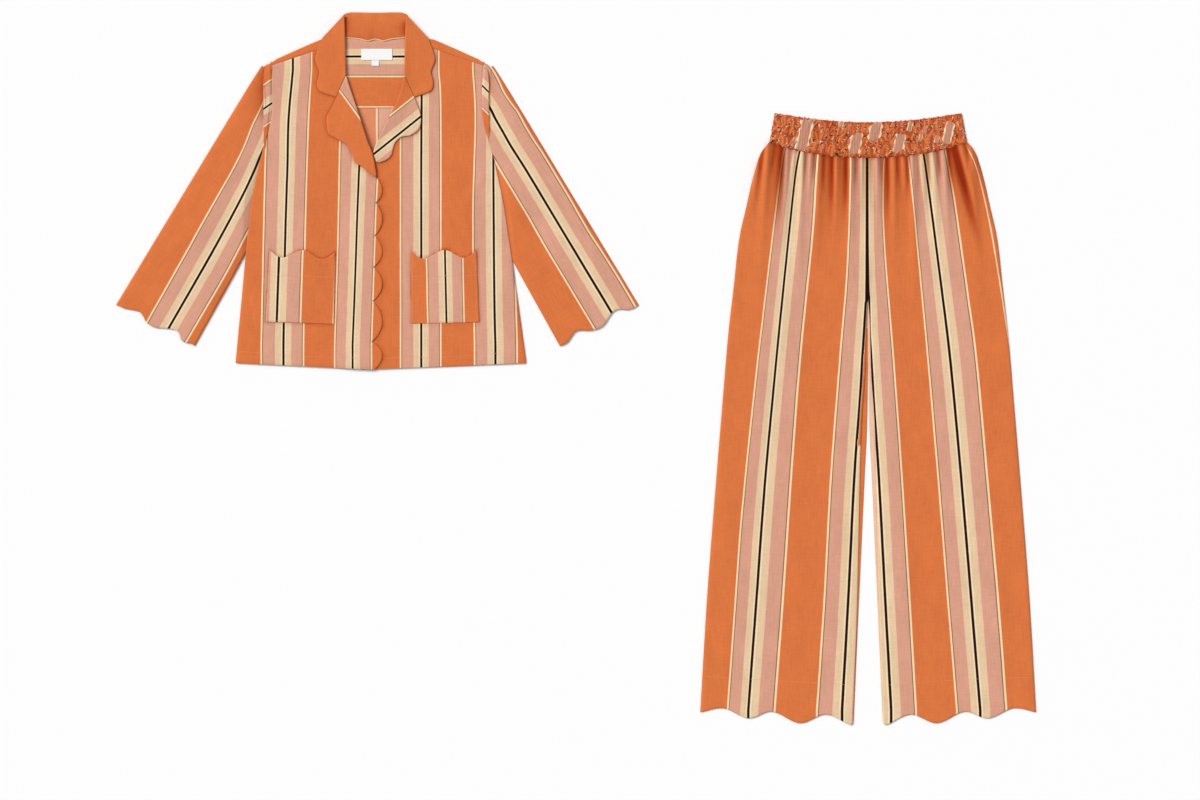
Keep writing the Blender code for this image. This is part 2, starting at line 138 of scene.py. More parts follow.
def closeAtEnds(count, width, fine):  # shares across, close together at both ends
    ends = np.array([0, 0.25, 0.6, 1.0, 1.6, 2.4]) * fine / width
    inside = np.linspace(ends[-1], 1 - ends[-1], count)
    return np.concatenate([ends[:-1], inside, (1 - ends[:-1])[::-1]])


# Cloth

cloth = {  # lengths in millimetres
    "wall": 0.7,
    "tableGap": 0.05,  # nothing comes nearer the table
    "sharp": 55.0,  # degrees at which an edge is hard
    "creaseEnd": 0.35,  # share of a crease over which it rises or dies
    "turn": [30, 60, 90, 120, 150],  # degrees of the rows where a layer turns under
}


def softRelief(x, y, creases):  # each crease: start, end, half width, height
    z = np.zeros(np.broadcast(x, y).shape)
    for (x0, y0), (x1, y1), width, height in creases:
        dx, dy = x1 - x0, y1 - y0
        length = math.hypot(dx, dy)
        t = ((x - x0) * dx + (y - y0) * dy) / length ** 2
        off = ((x - x0) * dy - (y - y0) * dx) / length
        window = ease(t / cloth["creaseEnd"]) * ease((1 - t) / cloth["creaseEnd"])
        z += height * np.exp(-(off / width) ** 2) * window
    return z


def roundOff(gap, reach):  # how far a rounded edge has turned down, 1 at the edge itself
    near = np.clip(1 - gap / reach, 0, 1)
    return 1 - np.sqrt(1 - near ** 2 * 0.999)  # just short of upright at the edge


def arch(gap, reach):  # a quarter round from 0 at the edge to 1 inside
    return np.sqrt(1 - (1 - np.clip(gap / reach, 0, 1)) ** 2)


def rollEdges(top, depth, reach, sides="lrtb"):  # the cloth turns down at its edges
    flat = top[..., :2]
    ends = {"l": flat[:, :1], "r": flat[:, -1:], "b": flat[:1], "t": flat[-1:]}
    for side in sides:
        gap = np.linalg.norm(flat - ends[side], axis=-1)
        top[..., 2] -= depth * roundOff(gap, reach)
    return top


def beside(x, y, line, reach):  # 1 on a line, falling off over the reach
    nearest = np.full(x.shape, 1e9)
    for px, py in line:
        nearest = np.minimum(nearest, (x - px) ** 2 + (y - py) ** 2)
    return np.exp(-np.sqrt(nearest) / reach)


def gridFaces(rows, columns, around, keep):
    index = np.arange(rows * columns).reshape(rows, columns)
    right = np.roll(index, -1, axis=1)
    faces = np.stack([index[:-1], right[:-1], right[1:], index[1:]], axis=-1)
    if not around:
        faces = faces[:, :-1]
    if keep is not None:
        return faces[keep[:, :faces.shape[1]]]
    return faces.reshape(-1, 4)


def bake(thing):  # turn live modifiers into a plain mesh
    graph = bpy.context.evaluated_depsgraph_get()
    made = bpy.data.meshes.new_from_object(thing.evaluated_get(graph), preserve_all_data_layers=True,
                                           depsgraph=graph)
    thing.modifiers.clear()
    thing.data = made


def placed(points, at):  # from a garment's millimetres to the scene's metres
    return (points + np.array([at[0], at[1], 0.0])) * mm


def readAll(collection, key):  # one row of three for each vertex or face
    values = np.empty(len(collection) * 3)
    collection.foreach_get(key, values)
    return values.reshape(-1, 3)


def clothPiece(name, top, stripe, weave, finish, at, wall=cloth["wall"], around=False, keep=None,
               up=True, paintedShade=0.0):
    shape = top.shape[:2]
    mesh = bpy.data.meshes.new(name)
    places = placed(top, at).reshape(-1, 3).tolist()
    mesh.from_pydata(places, [], gridFaces(*shape, around, keep).tolist())
    corner = np.empty(len(mesh.loops), int)
    mesh.loops.foreach_get("vertex_index", corner)
    # the stripe map holds the stripe's place and, in its second channel, painted shade
    dye = np.stack([np.broadcast_to(stripe, shape), np.broadcast_to(paintedShade, shape)], axis=-1)
    for title, values in (("stripe", dye), ("weave", weave * mm)):
        layer = mesh.uv_layers.new(name=title)
        layer.data.foreach_set("uv", values.reshape(-1, 2)[corner].ravel())
    if facesUp(mesh, around) != up:
        mesh.flip_normals()
    mesh.shade_smooth()
    for material in finish if isinstance(finish, list) else [finish]:
        mesh.materials.append(material)
    thing = addObject(name, mesh)
    solid = thing.modifiers.new("wall", "SOLIDIFY")
    solid.thickness = wall * mm
    solid.offset = -1
    solid.material_offset = len(mesh.materials) - 1
    bake(thing)
    places = readAll(thing.data.vertices, "co")
    places[:, 2] = np.maximum(places[:, 2], cloth["tableGap"] * mm)
    thing.data.vertices.foreach_set("co", places.ravel())
    thing.data.set_sharp_from_angle(angle=math.radians(cloth["sharp"]))
    return thing


def facesUp(mesh, around):  # of a tube only the higher half counts
    upward = readAll(mesh.polygons, "normal")[:, 2]
    if around:
        high = readAll(mesh.polygons, "center")[:, 2]
        upward = upward[high > np.median(high)]
    return upward.sum() > 0


def ruled(left, right, shares):  # rows between two edges
    left, right = np.asarray(left), np.asarray(right)
    return left[:, None] + (right - left)[:, None] * np.asarray(shares)[None, :, None]


def withHeight(flat, height):
    return np.concatenate([flat, np.broadcast_to(height, flat.shape[:2])[..., None]], axis=-1)


def flatArea(grid, keep=None):  # square metres of the grid laid out
    a, b, c, d = grid[:-1, :-1], grid[:-1, 1:], grid[1:, 1:], grid[1:, :-1]
    cells = 0.5 * (np.linalg.norm(np.cross(b - a, d - a), axis=-1)
                   + np.linalg.norm(np.cross(b - c, d - c), axis=-1))
    if keep is not None:
        cells = cells[keep[:, :cells.shape[1]]]
    return float(cells.sum()) * mm * mm


def declare(thing, node, flat, area=None):
    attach(thing, "root")
    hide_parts(node)
    limit = flat[0] * flat[1]
    if area is not None:
        area = min(area, limit)


# Where the stripes run: each line is a place in the repeat and its x at some heights. The black
# threads are whole numbers, the thin cream ones stand bandEdge away from them.
bandEdge = 0.285

stripes = {
    "frontRight": [
        (-1.285, [(30, -191.4), (360, -183.8), (484, -176)]),
        (-1.0, [(30, -154.3), (195, -151.6), (319, -147.7), (401, -145.9), (484, -138.6)]),
        (-0.715, [(30, -121.1), (236, -117.8), (401, -112.9), (484, -107.9)]),
        (-0.285, [(30, -70.0), (195, -65.0), (360, -61.7), (442, -59.1)]),
        (0.0, [(30, -40.3), (154, -35.5), (236, -32.8), (319, -29.5), (484, -22)]),
        (0.285, [(30, -9.0), (236, -2.3), (319, 2), (484, 12)]),
    ],
    "frontLeft": [
        (-0.285, [(30, 38.3), (440, 38.3)]),
        (0.0, [(30, 72.8), (319, 72.8), (442, 73.6)]),
        (0.285, [(30, 105), (401, 105), (484, 101.6)]),
        (0.715, [(30, 160.5), (236, 157.7), (401, 161.9), (484, 157.7)]),
        (1.0, [(30, 194.9), (112, 193.2), (319, 191.6), (484, 191.0)]),
        (1.285, [(30, 231), (154, 227.7), (484, 222)]),
    ],
    "legRight": [
        (-1.285, [(2, -232), (184, -219), (332, -207.9), (580, -182), (877, -146), (930, -138)]),
        (-1.0, [(2, -198), (184, -184.6), (382, -170.1), (580, -151.8), (728, -137.1), (877, -121.3),
                (930, -112)]),
        (-0.715, [(2, -154.1), (184, -140.4), (382, -127.1), (580, -112.2), (778, -92.4), (877, -86),
                  (930, -82.5)]),
        (-0.285, [(2, -84.8), (184, -72.6), (382, -62), (580, -46.9), (728, -34.7), (877, -29.5),
                  (930, -30)]),
        (0.0, [(2, -43.1), (184, -33), (382, -23.3), (514, -13.8), (580, -9.9), (629, -6.9),
               (662, -4.9), (679, -3.9), (700, -3.0), (930, -2.5)]),
    ],
    "legLeft": [
        (0.0, [(2, 38), (184, 28.2), (382, 18), (514, 9.2), (580, 5.5), (629, 2.6), (679, 1.8),
               (720, 0), (930, -1)]),
        (0.285, [(2, 79.2), (184, 68.5), (382, 56.1), (580, 42.1), (778, 26.4), (877, 25),
                 (930, 28)]),
        (0.715, [(2, 146.2), (184, 131.3), (382, 115.5), (629, 94.1), (877, 70), (930, 63)]),
        (1.0, [(2, 184.6), (184, 169.8), (382, 153.5), (580, 135.1), (728, 116.8), (877, 97.2), (930, 89)]),
        (1.285, [(2, 228.4), (184, 214.5), (382, 197), (580, 178.9), (679, 165.8), (827, 145.2),
                 (877, 137), (930, 127)]),
        (1.715, [(2, 296), (400, 261), (733, 212.9), (877, 184), (935, 161)]),
    ],
    "sleeveRight": [
        (-0.285, [(5, -415.4), (71, -378), (137, -340.6), (186.5, -312.5), (219.5, -294.4), (269, -266.3),
                  (318.5, -238.3), (354.8, -220.1), (392.7, -205.3), (424.1, -190.4), (480, -166)]),
        (0.0, [(5, -373.9), (71, -335.8), (137, -297.7), (186.5, -269.6), (244.2, -238.3), (285.5, -216.8),
               (318.5, -202), (343.2, -192.1), (392.7, -170), (480, -130)]),
        (0.285, [(5, -332), (71, -293.4), (137, -254.8), (186.5, -228.4), (343, -150), (480, -90)]),
    ],
    "sleeveLeft": [
        (-0.285, [(5, 388.5), (71, 349), (137, 309.5), (186.5, 279.8), (244.2, 246.8), (285.5, 222.1),
                  (318.5, 202.3), (343, 188), (480, 105)]),
        (0.0, [(5, 433.9), (71, 394), (137, 354.1), (186.5, 324.4), (219.5, 304.6), (269, 274.9),
               (318.5, 245.2), (354.8, 222.1), (381.2, 207.2), (404.3, 194), (424.1, 184.1), (480, 150)]),
        (0.285, [(5, 477.7), (71, 439), (137, 400.3), (186.5, 369), (219.5, 347.5), (269, 319.4),
                 (302, 299.6), (343.2, 274.9), (368, 258.4), (392.7, 243.5), (414.2, 232), (434, 217),
                 (450.5, 207.2), (462, 202.3), (483.5, 190.7), (500, 176)]),
    ],
}


def stripeAt(x, y, lines, repeat):
    levels = [lookUp(table, y) for _, table in lines]
    places = [place for place, _ in lines]
    u = places[0] + (x - levels[0]) / repeat
    for k in range(len(lines) - 1):
        share = (x - levels[k]) / (levels[k + 1] - levels[k])
        inside = mix(places[k], places[k + 1], share)
        u = np.where(x >= levels[k], inside, u)
    return np.where(x >= levels[-1], places[-1] + (x - levels[-1]) / repeat, u)


def fromLine(x, y, start, end):  # distance in mm to the left of a line
    dx, dy = end[0] - start[0], end[1] - start[1]
    return ((y - start[1]) * dx - (x - start[0]) * dy) / math.hypot(dx, dy)


# Shader maths written as expressions
class Value:
    def __init__(self, graph, socket):
        self.graph = graph
        self.socket = socket

    def __add__(self, other):
        return self.graph.maths("ADD", self, other)

    def __radd__(self, other):
        return self.graph.maths("ADD", other, self)

    def __sub__(self, other):
        return self.graph.maths("SUBTRACT", self, other)

    def __mul__(self, other):
        return self.graph.maths("MULTIPLY", self, other)

    def __truediv__(self, other):
        return self.graph.maths("DIVIDE", self, other)


class Graph:  # one material and its nodes
    def __init__(self, name):
        self.material = bpy.data.materials.new(name)
        self.material.use_nodes = True
        self.tree = self.material.node_tree
        self.shader = self.tree.nodes["Principled BSDF"]

    def put(self, socket, value):
        if isinstance(value, Value):
            self.tree.links.new(value.socket, socket)
        else:
            socket.default_value = value

    def node(self, kind, settings=None, values=None, out=0):
        made = self.tree.nodes.new(kind)
        for key, setting in (settings or {}).items():
            setattr(made, key, setting)
        for key, value in (values or {}).items():
            self.put(made.inputs[key], value)
        return Value(self, made.outputs[out])

    def maths(self, operation, a, b=0.0):
        return self.node("ShaderNodeMath", {"operation": operation}, {0: a, 1: b})

    def ramp(self, value, low, high, a=0.0, b=1.0):  # a soft step
        return self.node("ShaderNodeMapRange", {"interpolation_type": "SMOOTHSTEP"},
                         {0: value, 1: low, 2: high, 3: a, 4: b})

    def blend(self, a, b, share, kind="MIX"):
        settings = {"data_type": "RGBA", "blend_type": kind}
        return self.node("ShaderNodeMix", settings, {0: share, 6: a, 7: b}, out=2)

    def axis(self, vector, which):
        return self.node("ShaderNodeSeparateXYZ", None, {0: vector}, out=which)

    def vector(self, x, y, z=0.0):
        return self.node("ShaderNodeCombineXYZ", None, {0: x, 1: y, 2: z})

    def noise(self, place, scale, detail=2.0, rough=0.5):
        place = self.node("ShaderNodeMapping", {"vector_type": "POINT"}, {"Vector": place, "Scale": scale})
        values = {"Vector": place, "Scale": 1.0, "Detail": detail, "Roughness": rough}
        return self.node("ShaderNodeTexNoise", {"noise_dimensions": "3D"}, values)

    def toned(self, colour, tone):  # a colour times a grey
        return self.blend(colour, self.vector(tone, tone, tone), 1.0, "MULTIPLY")

    def dress(self, colour, roughness, relief, bump):
        strength, distance = bump
        values = {"Strength": strength, "Distance": distance, "Height": relief}
        raised = self.node("ShaderNodeBump", None, values)
        for key, value in (("Base Color", colour), ("Roughness", roughness), ("Normal", raised)):
            self.put(self.shader.inputs[key], value)

    def uv(self, name):
        return self.node("ShaderNodeUVMap", {"uv_map": name})


dyes = {
    "orange": (0.668, 0.172, 0.050, 1),
    "pink": (0.655, 0.325, 0.225, 1),
    "peach": (0.800, 0.500, 0.350, 1),
    "cream": (0.745, 0.545, 0.335, 1),
    "pale": (0.880, 0.690, 0.460, 1),
    "creamThread": (0.900, 0.650, 0.400, 1),
    "brown": (0.215, 0.105, 0.056, 1),
    "black": (0.016, 0.004, 0.002, 1),
    "shadow": (0.62, 0.36, 0.25, 1),
    "label": (0.88, 0.88, 0.86, 1),
    "thread": (0.74, 0.35, 0.18, 1),
    "mauve": (0.42, 0.13, 0.16, 1),
    "faded": (0.86, 0.56, 0.40, 1),
    "rose": (0.60, 0.160, 0.090, 1),
    "duskyPink": (0.52, 0.245, 0.165, 1),
    "fleck": (0.085, 0.022, 0.014, 1),
}

# shares of half a striped band, from the black thread out to the thin cream one
bandSteps = [("creamThread", 1.03), ("brown", 0.95), ("pink", 0.912), ("peach", 0.385),
             ("cream", 0.335), ("pale", 0.115), ("black", 0.056)]


# noise over the cloth: scale across and along it, detail, roughness, share in the tone
yarns = {
    "warp": (900, 45, 3.0, 0.6, 0.26),
    "weft": (70, 700, 3.0, 0.6, 0.20),
    "slub": (330, 34, 2.0, 0.6, 0.20),
    "pick": (46, 310, 2.0, 0.6, 0.16),
    "cloud": (34, 16, 2.0, 0.5, 0.22),
}

weaveLook = {
    "wander": (0.003, 0.004),  # share of a repeat that weft and cloud move a stripe
    "bandSoft": 0.012,
    "roughness": (0.82, 0.25),
    "threads": 9000.0,  # radians a metre
    "relief": (0.5, 0.7, 0.05),  # of warp, weft and threads
    "bump": (0.35, 0.0004),
    "faded": 0.2,
    "sheen": {
        "Sheen Weight": 0.02,
        "Sheen Roughness": 0.6,
        "Sheen Tint": (1.0, 0.82, 0.68, 1),
        "Specular IOR Level": 0.06,
    },
}


def wovenColour(graph, weave):
    stripe = graph.uv("stripe")
    noise = {}
    tone = 1.0
    for name, (across, along, detail, rough, amount) in yarns.items():
        noise[name] = graph.noise(weave, (across, along, 1), detail, rough)
        tone = tone + (noise[name] - 0.5) * amount
    weft, cloud = weaveLook["wander"]
    u = graph.axis(stripe, 0) + (noise["weft"] - 0.5) * weft + (noise["cloud"] - 0.5) * cloud
    wrapped = graph.node("ShaderNodeMath", {"operation": "WRAP"}, {0: u, 1: 0.5, 2: -0.5})
    fold = graph.maths("ABSOLUTE", wrapped) / bandEdge
    colour = dyes["orange"]
    for dye, limit in bandSteps:
        soft = weaveLook["bandSoft"]
        share = graph.ramp(fold, limit - soft, limit + soft, 1.0, 0.0)
        colour = graph.blend(colour, dyes[dye], share)
    colour = graph.toned(colour, tone)
    # the stripe map's second channel is painted shade: it mixes in the colour times the shadow dye
    paintedShade = graph.axis(stripe, 1)
    for share in (paintedShade, graph.ramp(paintedShade, 1.0, 2.0)):  # painted shade, and past 1 a fold is painted darker still
        shadedColour = graph.blend(colour, dyes["shadow"], 1.0, "MULTIPLY")
        colour = graph.blend(colour, shadedColour, share)
    return colour, noise["warp"], noise["weft"]


def wovenFinish(name, faded=0.0):
    graph = Graph(name)
    weave = graph.uv("weave")
    colour, warp, weft = wovenColour(graph, weave)
    if faded:
        colour = graph.blend(colour, dyes["faded"], faded)
    across, along = (graph.maths("SINE", graph.axis(weave, k) * weaveLook["threads"]) for k in (0, 1))
    ofWarp, ofWeft, ofThreads = weaveLook["relief"]
    relief = warp * ofWarp + weft * ofWeft + (across + along) * ofThreads
    base, vary = weaveLook["roughness"]
    graph.dress(colour, base + (warp - 0.5) * vary, relief, weaveLook["bump"])
    clothSheen(graph)
    return graph.material


def clothSheen(graph):
    for key, value in weaveLook["sheen"].items():
        graph.put(graph.shader.inputs[key], value)


def plainFinish(name, dye, roughness):
    graph = Graph(name)
    place = graph.node("ShaderNodeTexCoord", out=3)
    grain = graph.noise(place, (900, 900, 900))
    colour = graph.toned(dyes[dye], 0.94 + grain * 0.12)
    graph.dress(colour, roughness + (grain - 0.5) * 0.1, grain, (0.3, 0.0002))
    return graph.material


makeCamera()
striped = wovenFinish("stripedCotton")
wrongSide = wovenFinish("stripedCottonInside", weaveLook["faded"])
threadFinish = plainFinish("sewingThread", "thread", 0.7)
motifFinish = plainFinish("motifThread", "mauve", 0.6)
labelFinish = plainFinish("labelSatin", "label", 0.45)
print("materials made")


# Sewing thread: where it runs, in millimetres, and the sizes of its stitches, in metres
threadWork = {
    "jacketHem": 19.0,  # mm above the hem
    "hemSpots": [(225, (-224, -150, -80, -6)), (235, (15, 90, 160, 236))],
    "pocketHem": 0.655,  # share of the pocket's height
    "lift": 0.1,  # above the cloth
    "legHems": [[(-268, 57.6), (-150, 51.2), (-24, 43.9)], [(30, 43.9), (153.5, 53), (270, 56.9)]],
    "motif": {"y": 376, "half": 104, "wave": 9.0, "pace": 11.0, "height": 0.36},
}
threadSizes = {
    "sewing": {"Pitch": 0.0034, "Length": 0.0028, "Width": 0.0006, "Height": 0.0004},
    "motif": {"Pitch": 0.0085, "Length": 0.0105, "Width": 0.0034, "Height": 0.0005},
}
pocketSeams = []


# Jacket body

body = {
    "repeat": 119.0,
    # rolled edges as depth and reach, the side's at some heights
    "hemRoll": (0.9, 2.6),
    "freeRoll": {"right": (1.3, 3.0), "left": (0.9, 2.6)},
    "sideRoll": [(-40, 2.6, 7.0), (135, 2.6, 7.0), (175, 0.9, 3.0), (560, 0.8, 2.4)],
    "seamDip": (0.7, 2.2),
    "rightRoll": [(-1, 305), (-8, 343), (-17, 366), (-34, 418), (-53, 472), (-68, 507), (-90, 519)],
    "valleys": [(-5, -11), (-9, 35), (-7, 102), (-6, 158), (-4, 210), (-2, 264), (-1, 305)],
    "lobeX": 9.0,
    "lobeFull": 0.75,  # under 1 makes the scallops blunter
    "leftEdge": -25.0,
    "leftRoll": [(-25, 294), (-19, 322), (-7, 348), (10, 382), (26, 414), (39, 444), (46, 472),
                 (67, 507), (90, 519)],
    "overlap": (-75.0, -35.0, 440.0, 60.0),
    "overlapRise": 2.0,
    "loft": 1.2,
    "loftFrom": (25, -40),  # x and y where the cloth starts to stand up
    "loftSpan": (170, 490),
    # painted shade as strength and reach
    "turnedShade": (0.9, 2.6),
    "pocketShade": (1.35, 1.5),
    "scallopShade": (0.95, 3.2),
    "creases": [
        ((-150, 420), (-120, 60), 26, 0.8),
        ((-60, 330), (-85, 40), 20, -0.6),
        ((120, 430), (150, 60), 24, 0.8),
        ((60, 300), (85, 30), 20, -0.6),
        ((-185, 330), (-120, 250), 14, 0.9),
        ((190, 320), (130, 240), 14, 0.9),
        ((-200, 150), (-170, 10), 16, 0.8),
        ((210, 170), (175, 10), 16, 0.8),
    ],
}


def lean(y):
    return jacket["hemLean"] * np.maximum(0, 1 - y / jacket["leanTop"])


def sideX(side, y):
    return side * lookUp(jacket["side"], y) + lean(y)


def frontTop(x, y, over=False):
    (fromX, fromY), (spanX, spanY) = body["loftFrom"], body["loftSpan"]
    across = np.clip((np.abs(x) - fromX) / spanX, 0, 1)
    along = np.clip((y - fromY) / spanY, 0, 1)
    z = jacket["front"] + body["loft"] * (np.sin(np.pi * across) * np.sin(np.pi * along)) ** 2
    if over:
        start, end, top, fade = body["overlap"]
        z = z + body["overlapRise"] * ease((x - start) / (end - start)) * ease((top - y) / fade)
    return z + softRelief(x, y, body["creases"])


def sideRoll(y):  # depth and reach at a height
    heights, depth, reach = np.array(body["sideRoll"]).T
    return np.interp(y, heights, depth), np.interp(y, heights, reach)


def frontSide(side, edge):
    low, high = edge[0, 1], edge[-1, 1]
    levels = jacket["shoulderSeam"][1][1] * (edge[:, 1] - low) / (high - low)
    return np.stack([sideX(side, levels), levels], axis=-1)


def scallopedEdge(steps=16):
    edge = []
    valleys = body["valleys"]
    for (x0, y0), (x1, y1) in zip(valleys, valleys[1:]):
        t = np.arange(steps) / steps
        x = mix(mix(x0, x1, t), body["lobeX"], np.sin(np.pi * t) ** body["lobeFull"])
        edge.append(np.stack([x, mix(y0, y1, t)], axis=-1))
    return np.vstack(edge + [spaced(body["rightRoll"], 60)])


def edgesOver(word):  # the lapel's and the collar's free edges on that side
    side = -1 if word == "right" else 1
    fall = spaced(collar["edge"], 110) * np.array([side, 1]) + np.array([collar["x"], 0])
    return np.vstack([spaced(lapels[word]["edge"], 130), fall])


def tilted(px, py, x0, y0, tilt):  # a pocket's own x and y in the jacket's
    cos, sin = math.cos(math.radians(tilt)), math.sin(math.radians(tilt))
    return np.stack([x0 + px * cos - py * sin, y0 + px * sin + py * cos], axis=-1)


def pocketOutline(name):
    _, x0, y0, tilt, _ = pocketCloth["places"][name]
    bottom, upper = pocketCloth["width"][0] / 2, pocketCloth["width"][1] / 2
    shares = np.linspace(1, 0, 60)
    wave = pocketCloth["height"] + lookUp(pocketCloth["wave"], shares)
    mouth = np.stack([mix(-upper, upper, shares), wave], axis=-1)
    corners = np.vstack([mouth, [(-bottom, 0), (bottom, 0)], mouth[:1]])
    line = readLine(corners, np.linspace(0, 1, 320))
    return tilted(line[:, 0], line[:, 1], x0, y0, tilt)


def shadeBeside(x, y, line, look):
    strength, reach = body[look]
    return strength * beside(x, y, line, reach)


# painted shade on a front beside the lapel's and collar's free edges and round its pocket
def contactShade(x, y, word):
    turned = shadeBeside(x, y, edgesOver(word), "turnedShade")
    pocket = shadeBeside(x, y, pocketOutline("pocket" + word.capitalize()), "pocketShade")
    return np.maximum(turned, pocket)


def layFront(word, free, flat):  # from the side seam to the free edge
    onRight = word == "right"
    side = -1 if onRight else 1
    edges = [frontSide(side, free), free]
    outer, inner = "lr" if onRight else "rl"
    grid = ruled(*edges[::-side], closeAtEnds(78, 240, 2.0))
    x, y = grid[..., 0], grid[..., 1]
    top = withHeight(grid, frontTop(x, y, onRight))
    area = flatArea(top)
    top = rollEdges(top, *sideRoll(y), sides=outer)
    top = rollEdges(top, *body["freeRoll"][word], sides=inner)
    top = rollEdges(top, *body["hemRoll"], sides="b")
    top = rollEdges(top, *body["seamDip"], sides="t")
    paintedShade = contactShade(x, y, word)
    if not onRight:  # painted shade where it lies under the other front's scallops
        paintedShade = np.maximum(paintedShade, shadeBeside(x, y, scallopedEdge(8)[:52], "scallopShade"))
    name = "front" + word.capitalize()
    u = stripeAt(x, y, stripes[name], body["repeat"])
    piece = clothPiece(name, top, u, grid, striped, jacket["at"], paintedShade=paintedShade)
    declare(piece, "jacket_front_" + word, flat, area=area)


def jacketFronts():
    layFront("right", scallopedEdge(), (0.26, 0.54))
    low, high = -jacket["hemDrop"], 290
    straight = np.stack([np.full(48, body["leftEdge"]), np.linspace(low, high, 48)], axis=-1)
    layFront("left", np.vstack([straight, spaced(body["leftRoll"], 70)]), (0.27, 0.54))


backCloth = {
    "top": 1.15,
    "inset": 0.3,  # inside the fronts' outline
    "edgeRoll": (0.3, 2.5),
    "hemBow": 0.7,  # share of the fronts' hem drop
    "blackX": 38.0,
    "repeat": 137.0,
    "tuck": 10.5,
    "underarm": (120, 385),
    "yokeBlackY": 475.3,
    "yokeRepeat": 118.0,
    "liningBlackY": 505.4,
    "liningRepeat": 116.0,
    "neckSeam": [(0, 532.9), (5, 532.2), (11.5, 530.2), (17, 530.8), (27, 533.4), (53, 535.8), (62, 536)],
}


def jacketBack():
    low, high = backCloth["underarm"]
    levels = np.linspace(0, jacket["yokeSeam"] - jacket["seamGap"], 90)
    window = np.sin(np.pi * np.clip((levels - low) / (high - low), 0, 1)) ** 0.5
    half = lookUp(jacket["side"], levels) - backCloth["tuck"] * window - backCloth["inset"]
    left = np.stack([-half + lean(levels), levels], axis=-1)
    right = np.stack([half + lean(levels), levels], axis=-1)
    grid = ruled(left, right, even(90))
    share = even(90)[None, :]
    row = (levels / levels[-1])[:, None]
    grid[..., 1] -= jacket["hemDrop"] * backCloth["hemBow"] * np.sin(np.pi * share) * (1 - row) ** 4
    x = grid[..., 0]
    top = withHeight(grid, backCloth["top"])
    top = rollEdges(top, *backCloth["edgeRoll"])
    u = (x - backCloth["blackX"]) / backCloth["repeat"]
    piece = clothPiece("jacketBack", top, u, grid, [wrongSide, striped], jacket["at"])
    declare(piece, "jacket_back", (0.50, 0.46), area=flatArea(top))


yokeCloth = {
    "half": 175.6,
    "wall": 1.2,
    "hollow": 1.8,  # between its layers at the shoulder
    "lowest": 0.2,
    "onBack": 24,  # rows up the back
    "crown": 0.35,
    "crownSpan": 80,
    "orangeFrom": 27,  # row
    "seamDrop": (0.6, 0.15),  # of the last row and the one before it
}


def jacketYoke():
    neck, dip = jacket["neckX"], jacket["neckDip"]
    shoulder = np.linspace(yokeCloth["half"], neck, 34)
    half = np.concatenate([shoulder, np.linspace(neck, 0, 31)[1:]])
    xs = np.concatenate([-half, half[::-1][1:]])
    inner = yokeCloth["hollow"] / 2
    outer = inner + yokeCloth["wall"]
    reach = np.abs(xs) + np.where(np.abs(xs) > 170, 3, 0)
    fold = lookUp(jacket["shoulderFold"], reach) - outer
    end = np.where(np.abs(xs) >= neck, fold, mix(dip, fold, (xs / neck) ** 2))
    seam = lookUp(jacket["shoulderSeam"], np.abs(xs)) + jacket["seamGap"]
    middle = yokeCloth["wall"] + inner
    onBack = yokeCloth["onBack"]
    rows = [(mix(jacket["yokeSeam"], end, s), yokeCloth["lowest"]) for s in even(onBack)]
    for a in np.radians(np.linspace(-75, 75, 11)):
        rows.append((fold + outer * math.cos(a), middle + outer * math.sin(a)))
    rows += [(mix(fold, seam, s), jacket["front"]) for s in even(8)]
    y = np.array([row[0] for row in rows])
    z = np.array([np.full_like(xs, row[1]) for row in rows])
    x = np.broadcast_to(xs, y.shape)
    for k, drop in enumerate(yokeCloth["seamDrop"]):
        z[-1 - k] -= drop
    away = np.clip((np.abs(x[onBack:]) - neck) / yokeCloth["crownSpan"], 0, 1)
    z[onBack:] += yokeCloth["crown"] * np.sin(np.pi * away)
    steps = np.hypot(np.diff(y, axis=0), np.diff(z, axis=0))
    run = jacket["yokeSeam"] + np.vstack([np.zeros_like(xs), np.cumsum(steps, axis=0)])
    top = np.stack([x, y, z], axis=-1)
    arm = len(shoulder) - 1
    columns = np.arange(len(xs) - 1)
    onShoulder = (columns < arm) | (columns >= len(xs) - 1 - arm)
    keep = np.broadcast_to(onShoulder, (len(rows) - 1, len(xs) - 1)).copy()
    keep[:onBack] = True
    weave = np.stack([run, x], axis=-1)
    u = (run - backCloth["yokeBlackY"]) / backCloth["yokeRepeat"]
    u[yokeCloth["orangeFrom"]:] = 0.5
    piece = clothPiece("yoke", top, u, weave, striped, jacket["at"], keep=keep, up=False)
    area = flatArea(top, keep)
    declare(piece, "jacket_yoke", (0.35, 0.14), area=area)


liningCloth = {
    "half": 172.0,
    "neckHalf": 62,  # where the collar's seam ends and the top rises to the shoulder
    "neckRise": (534, 517),
    "shoulderX": 90,
    "belowCollar": 0.3,
    "belowSeam": 2.0,
    "edgeRoll": (0.5, 2.0),
}


